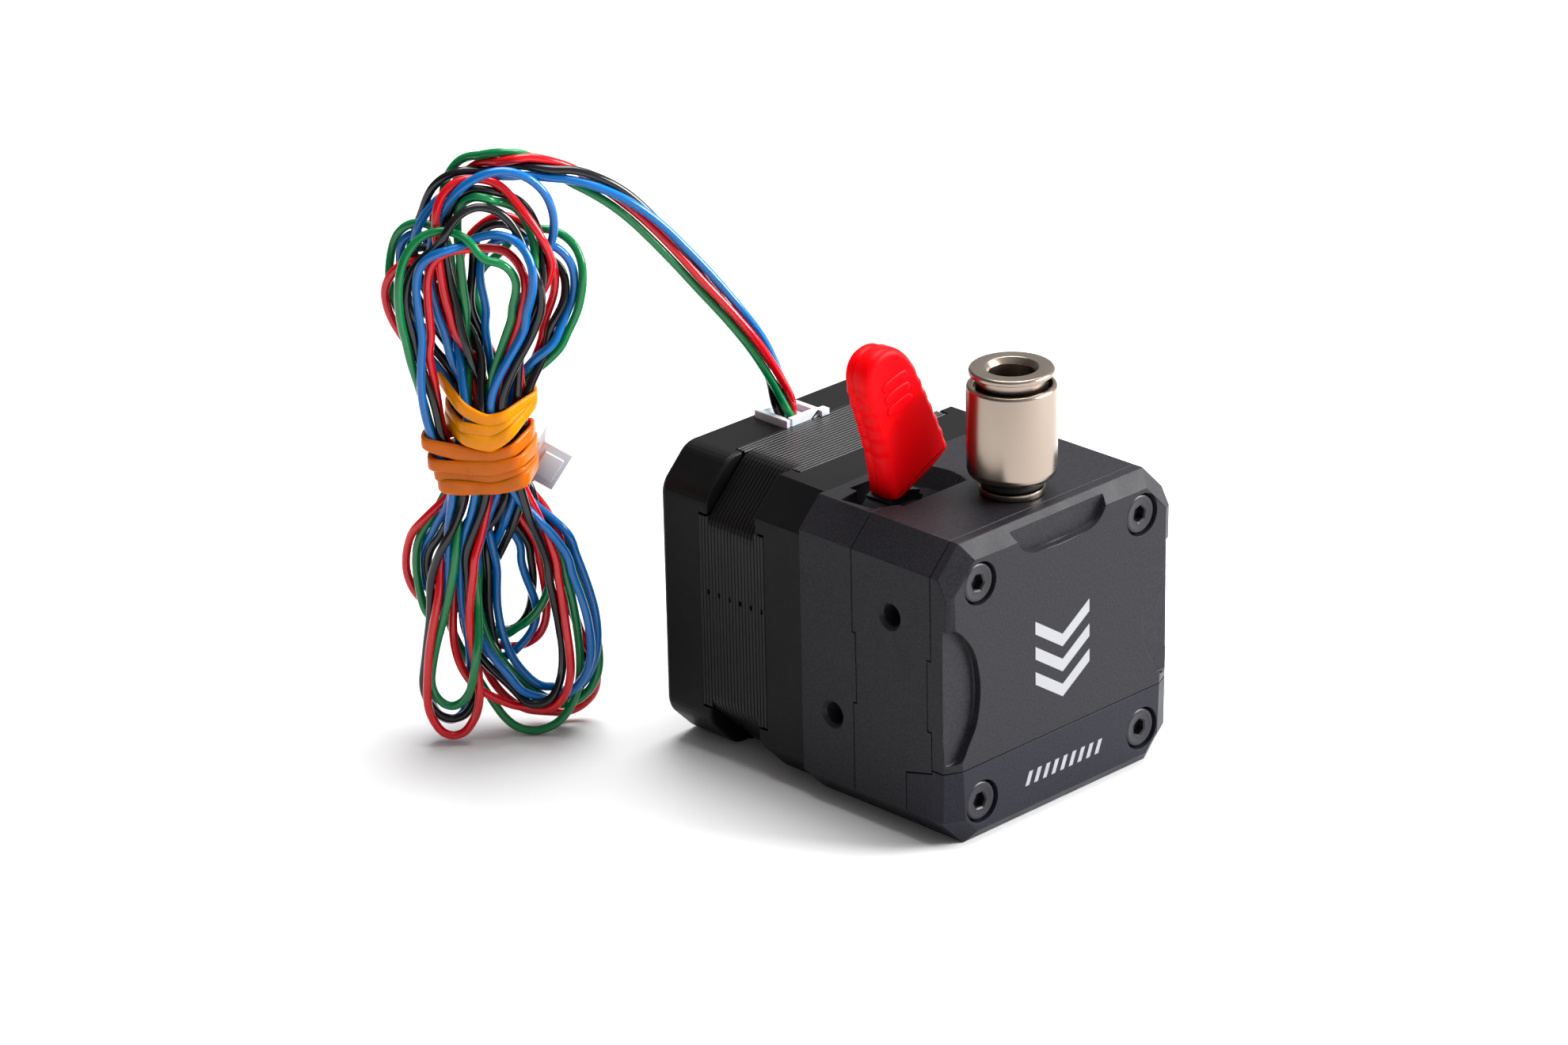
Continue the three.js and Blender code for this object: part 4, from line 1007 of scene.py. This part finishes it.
# ---- lever
LEVER_OUTLINE = (
    (-12.8, 42.4), (-12.4, 41.5), (-11.2, 41.25), (-9.6, 41.85), (-5.9, 43.85), (-4.2, 44.87), (-2.75, 45.8),
    (-2.05, 46.5), (-2.2, 47.6), (-3.9, 51.7), (-5.9, 55.9), (-7.8, 59.6), (-9.6, 61.9), (-11.6, 63.25),
    (-13.6, 63.45), (-15.6, 62.7), (-16.8, 61.1), (-17.05, 59), (-16.5, 56.2), (-15.3, 52.6), (-14, 48.4),
    (-13.25, 45.2),
)
LEVER_FRONT, LEVER_STEP, LEVER_BACK = 18.3, 21.0, 23.1
FRONT_ROUND, BACK_ROUND = 1.0, 0.95
BACK_INSET = 0.22  # how much smaller the back half is
ROUND_ANGLES = [math.radians(a) for a in range(0, 91, 15)]
# The groove between the lever's halves: how far in and how far behind the step.
LEVER_GROOVE = ((0, -0.12), (0.1, 0), (0.3, 0.02), (0.3, 0.12), (BACK_INSET, 0.2))
GRIP_DEPTH, GRIP_PITCH, GRIP_SPAN = 0.15, 2.05, (47.2, 59.5)
FOOT_RISE, FOOT_TOP, FOOT_HEIGHT = 0.6, 45, 3
TANG = rectangle(-11.4, -8.6, 37.3, 44.2)
TANG_DEPTHS = (19.2, 22)
BAR_MIDDLE, BAR_STEP, BAR_HALF, BAR_WIDTH = (-11.7, 57.1), (-0.45, 1.75), (2.1, 0.6), 0.9
# A bar's edge: how far in and how far behind the lever's face.
BAR_EDGE = ((0.1, 0.4), (0, 0.1), (0, -0.12), (0.1, -0.2), (0.28, -0.23))


def around(points, count):
    """A closed smooth outline with points evenly spaced."""
    wrapped = [*points[-2:], *points, *points[:3]]
    line = smooth_line([(x, 0, z) for x, z in wrapped])[2 * PER_SPAN:(2 + len(points)) * PER_SPAN + 1]
    return spread(line, count, closed=True)[0][:, (0, 2)]


def inset(outline, amount):
    """The outline moved inwards."""
    x, z = outline.T
    turn = np.sum(x * np.roll(z, -1) - np.roll(x, -1) * z)
    return outline + leftwards(outline) * np.sign(turn) * amount


def grips(outline):
    """How deep the shallow hollows down the lever's narrow sides are at each point."""
    z = outline[:, 1]
    low, high = GRIP_SPAN
    wave = 0.5 - 0.5 * np.cos(2 * math.pi * (z - low) / GRIP_PITCH)
    return np.where((z > low) & (z < high), GRIP_DEPTH * wave, 0.0)


def lever_ring(outline, hollows, inward, depth):
    """The outline at a depth; its foot slopes up towards the front."""
    slope = (LEVER_BACK - depth) / (LEVER_BACK - LEVER_FRONT)
    ring = inset(outline, hollows[:, None] + inward)
    return [(x, at(depth), z + FOOT_RISE * slope * max(0, min(1, (FOOT_TOP - z) / FOOT_HEIGHT))) for x, z in ring]


def make_blade():
    outline = around(LEVER_OUTLINE, 300)
    hollows = grips(outline)
    rings = [(FRONT_ROUND * (1 - math.sin(a)), LEVER_FRONT + FRONT_ROUND * (1 - math.cos(a))) for a in ROUND_ANGLES]
    rings += [(inward, LEVER_STEP + behind) for inward, behind in LEVER_GROOVE]
    for a in ROUND_ANGLES[-2::-1]:
        rings.append((BACK_INSET + BACK_ROUND * (1 - math.sin(a)), LEVER_BACK - BACK_ROUND * (1 - math.cos(a))))
    blade = stacked([lever_ring(outline, hollows, inward, depth) for inward, depth in rings])
    stand_in("release_lever", joined(blade, flat_shape(TANG, *TANG_DEPTHS)), "red_plastic", "lever", angle=55)


def make_bars():
    """Three raised bars across the lever's face."""
    (x0, z0), (dx, dz), (half, rise) = BAR_MIDDLE, BAR_STEP, BAR_HALF
    bars = []
    for step in (-1, 0, 1):
        x, z = x0 + dx * step, z0 + dz * step
        outline = around(stroke(x - half, z - rise, x + half, z + rise, BAR_WIDTH), 60)
        rings = [[(x, at(LEVER_FRONT + behind), z) for x, z in inset(outline, inward)] for inward, behind in BAR_EDGE]
        bars.append(stacked(rings))
    put("lever_mark", mesh_of("lever_mark", *joined(*bars)), "red_plastic", "lever")


PIVOT_X, PIVOT_Z = -10, 36
# The saddle's stretches: from and to which angle, in degrees, and their radius.
SADDLE = ((50, 58, 5.6), (58, 66, 6.2), (66, 118, 6.75), (118, 130, 6.3), (130, 138, 5.5))
SADDLE_FOOT = 2.2


def make_saddle():
    """The hub's upper part, under the blade: a slice of a disc about the pivot, stepped at its ends."""
    outline = []
    for start, end, radius in SADDLE:
        for a in map(math.radians, np.linspace(start, end, 5)):
            outline.append((PIVOT_X + radius * math.cos(a), PIVOT_Z + radius * math.sin(a)))
    outline += [(PIVOT_X - SADDLE_FOOT, PIVOT_Z + SADDLE_FOOT), (PIVOT_X + SADDLE_FOOT, PIVOT_Z + SADDLE_FOOT)]
    shape = flat_shape(outline, LEVER_FRONT + 0.35, LEVER_BACK - 0.3)
    put("lever_saddle", mesh_of("lever_saddle", *shape), "black_steel", "lever")


def make_lever():
    make_blade()
    make_bars()
    make_saddle()
    remade("lever_cam", "black_steel", "lever", bevel=0.15)


# ---- tube fitting, as closed profiles of (radius, z)
FITTING_DEPTH = 8.9
FITTING_BODY = (
    (1.1, 35.2), (4, 35.2), (4, 42.5), (4.35, 42.5), (4.35, 43.4), (3.3, 43.4), (3.3, 44.7), (4.7, 44.7), (5.35, 44.9),
    (5.8, 45.35), (6, 46), (6, 57.35), (5.72, 57.66), (5.35, 57.66), (5.35, 56), (5, 56), (5, 46), (1.1, 46),
)
SEAL_MIDDLE, SEAL_RADIUS = (3.85, 44.05), 0.52
FITTING_COLLAR = (
    (3, 49), (4.75, 49), (4.75, 59.02), (5.3, 59.02), (5.67, 59.2), (5.67, 59.65),
    (5.42, 59.9), (3.6, 59.9), (3, 59.15),
)


def make_fitting():
    (r, z), angles = SEAL_MIDDLE, [math.pi * k / 8 for k in range(16)]
    seal = [(r + SEAL_RADIUS * math.cos(a), z + SEAL_RADIUS * math.sin(a)) for a in angles]
    stand_in("fitting_body", turned_up(rounded(FITTING_BODY, 0.14)), "nickel", angle=30)
    stand_in("o_ring", turned_up(seal), "black_rubber")
    stand_in("fitting_collar", turned_up(rounded(FITTING_COLLAR, 0.08)), "nickel", "collar", angle=30)


# ---- motor
MOTOR_HALF = 21.15
STATOR_CORNER, STATOR_ROUND = 7.5, 1.6
EAR_INNER, EAR_LENGTH, EAR_GAP = 14.2, 1.5, 0.3
STATOR_FRONT, STATOR_BACK = 34.2, 46.5
FULL_FRONT = STATOR_FRONT + EAR_LENGTH + EAR_GAP
FULL_BACK = STATOR_BACK - EAR_LENGTH - EAR_GAP
SEAM = 0.02
LAMINATION, GROOVE, GROOVE_FLOOR, LIP = 0.62, 0.13, 0.05, 0.07
SLOT_DEPTHS, SLOT_HALF = (34.8, 44.9), 0.2
SLOT = rectangle(-22.5, -20.5, 24.2 - 0.37, 24.2 + 0.37)


def around_axis(points, radius, steps):
    """An outline about the motor's axis, its corners rounded."""
    return [(x, MID_Z + z) for x, z in rounded(points, radius, steps)]


def square_outline(inward):
    """A square about the motor's axis with its corners cut at 45 degrees and each cut's ends rounded."""
    half = MOTOR_HALF - inward
    low = half - STATOR_CORNER
    points = [
        (low, -half), (half, -low), (half, low), (low, half), (-low, half), (-half, low), (-half, -low), (-low, -half),
    ]
    return around_axis(points, STATOR_ROUND, 5)


def plus_outline(inward):
    """The square without its four corners, where the caps' ears are."""
    half, inner = MOTOR_HALF - inward, EAR_INNER - EAR_GAP
    points = [
        (inner, -half), (inner, -inner), (half, -inner), (half, inner), (inner, inner), (inner, half),
        (-inner, half), (-inner, inner), (-half, inner), (-half, -inner), (-inner, -inner), (-inner, -half),
    ]
    return around_axis(points, 0.1, 3)


def laminated(outline_of, start, end):
    """A stack of thin sheets with fine grooves between them."""
    count = max(1, round((end - start) / LAMINATION))
    pitch = (end - start) / count
    rings = []
    for base in (start + sheet * pitch for sheet in range(count)):
        floor = base + GROOVE_FLOOR
        profile = ((base, GROOVE), (floor, GROOVE), (floor + LIP, 0), (base + pitch - LIP, 0), (base + pitch, GROOVE))
        rings += [[(x, at(depth), z) for x, z in outline_of(inward)] for depth, inward in profile]
    return stacked(rings)


def make_stator():
    """The stack of laminations, with a row of small slots in its left side."""
    front = laminated(plus_outline, STATOR_FRONT + SEAM, FULL_FRONT - SEAM)
    full = laminated(square_outline, FULL_FRONT, FULL_BACK)
    back = laminated(plus_outline, FULL_BACK + SEAM, STATOR_BACK - SEAM)
    slots = [flat_shape(SLOT, depth - SLOT_HALF, depth + SLOT_HALF) for depth in np.linspace(*SLOT_DEPTHS, 6)]
    mesh = cut_away(mesh_of("stator_stack", *joined(front, full, back)), [joined(*slots)])
    mesh.shade_flat()
    put("visual_stator_stack", mesh, "laminations", stands_for=["stator_stack"])


CHAMFER_REACH = 33  # |x| + |z| of a point on a cap's corner, measured from the axis, is more than this
OUTER_SIDE, OUTER_CHAMFER = 20.8, 36.9
LONG_EDGE = 4
BACK_FACE = 53.7


def reach_out(p):
    """How far a point lies from the axis: towards a side, and towards a corner."""
    x, z = abs(p.x), abs(p.z - MID_Z)
    return max(x, z), x + z


def on_a_chamfer(*ends):
    return min(reach_out(p)[1] for p in ends) > CHAMFER_REACH


def long_edge(a, b):
    return abs(a.y - b.y) > LONG_EDGE and on_a_chamfer(a, b)


def back_edge(a, b):
    outer = [side > OUTER_SIDE or corner > OUTER_CHAMFER for side, corner in map(reach_out, (a, b))]
    return all(outer) and min(a.y, b.y) > at(BACK_FACE)


def ear_edge(a, b):
    return max(abs(p.y - at(STATOR_BACK - EAR_LENGTH)) for p in (a, b)) < 0.1 and on_a_chamfer(a, b)


def make_motor():
    make_stator()
    remade("motor_rear_cap", "motor_black", bevel=0.12, wide=((long_edge, 1.3), (back_edge, 0.85), (ear_edge, 0.4)))
    remade("motor_front_cap", "motor_black", bevel=0.12)
    for number in (1, 2, 3, 4):
        remade(f"motor_screw_{number}", "black_steel", bevel=SMALL_BEVEL)
    remade("motor_socket", "white_nylon", bevel=0.08)


# ---- everything that keeps its CAD shape
def finish_the_rest():
    taken = {name for thing in bpy.data.objects for name in thing.get("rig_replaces", [])}
    slots = {piece["node"]: piece["material_slot"] for piece in frame["record"]["subparts"]}
    for name, thing in NODES.items():
        if name in taken or slots.get(name) not in FINISHES:
            continue
        thing.data.materials.clear()
        thing.data.materials.append(FINISHES[slots[name]])
        smooth(thing.data, 40)


# ---- floor and light, in metres
FLOOR_HALF = 4.0
FLOOR_COLOUR = (0.755, 0.755, 0.76, 1)
LIGHT_TARGET = (0, 0, 0.03)
SKY_TOWARDS = (0.75, -0.45, 0.35)  # the side from which the surroundings are brightest


def make_floor():
    mesh = bpy.data.meshes.new("floor")
    corners = [(x * FLOOR_HALF, y * FLOOR_HALF, 0) for x, y in ((-1, -1), (1, -1), (1, 1), (-1, 1))]
    mesh.from_pydata(corners, [], [(0, 1, 2, 3)])
    floor = show("floor", mesh)
    material = bpy.data.materials.new("floor")
    material.use_nodes = True
    shader = material.node_tree.nodes["Principled BSDF"]
    shader.inputs["Base Color"].default_value = FLOOR_COLOUR
    shader.inputs["Roughness"].default_value = 0.8
    shader.inputs["Specular IOR Level"].default_value = 0.1
    mesh.materials.append(material)


def area_light(name, place, size, power):
    data = bpy.data.lights.new(name, "AREA")
    data.shape = "RECTANGLE"
    data.size, data.size_y = size
    data.energy = power
    light = show(name, data)
    light.location = place
    light.rotation_mode = "QUATERNION"
    light.rotation_quaternion = (Vector(LIGHT_TARGET) - Vector(place)).to_track_quat("-Z", "Y")


def make_light():
    """Two soft lights, and surroundings that are brighter on one side."""
    world = bpy.data.worlds.new("studio")
    bpy.context.scene.world = world
    world.use_nodes = True
    tree = world.node_tree
    sky = tree.nodes["Background"]
    place = tree.nodes.new("ShaderNodeTexCoord")
    towards = tree.nodes.new("ShaderNodeVectorMath")
    towards.operation = "DOT_PRODUCT"
    towards.inputs[1].default_value = SKY_TOWARDS
    tree.links.new(place.outputs["Generated"], towards.inputs[0])
    tree.links.new(add_range(tree, towards.outputs["Value"], (-0.5, 0.7), (0.12, 0.7)), sky.inputs["Strength"])
    sky.inputs["Color"].default_value = (1, 1, 1, 1)
    area_light("overhead", (0.2, 0.1, 0.8), (0.6, 0.6), 11)
    area_light("front", (0.62, -0.6, 0.42), (0.6, 0.45), 21)
    bpy.context.scene.view_settings.view_transform = "Standard"


make_lead()
make_housings()
make_cover_screws()
make_marks()
make_lever()
make_fitting()
make_motor()
finish_the_rest()
make_floor()
make_light()
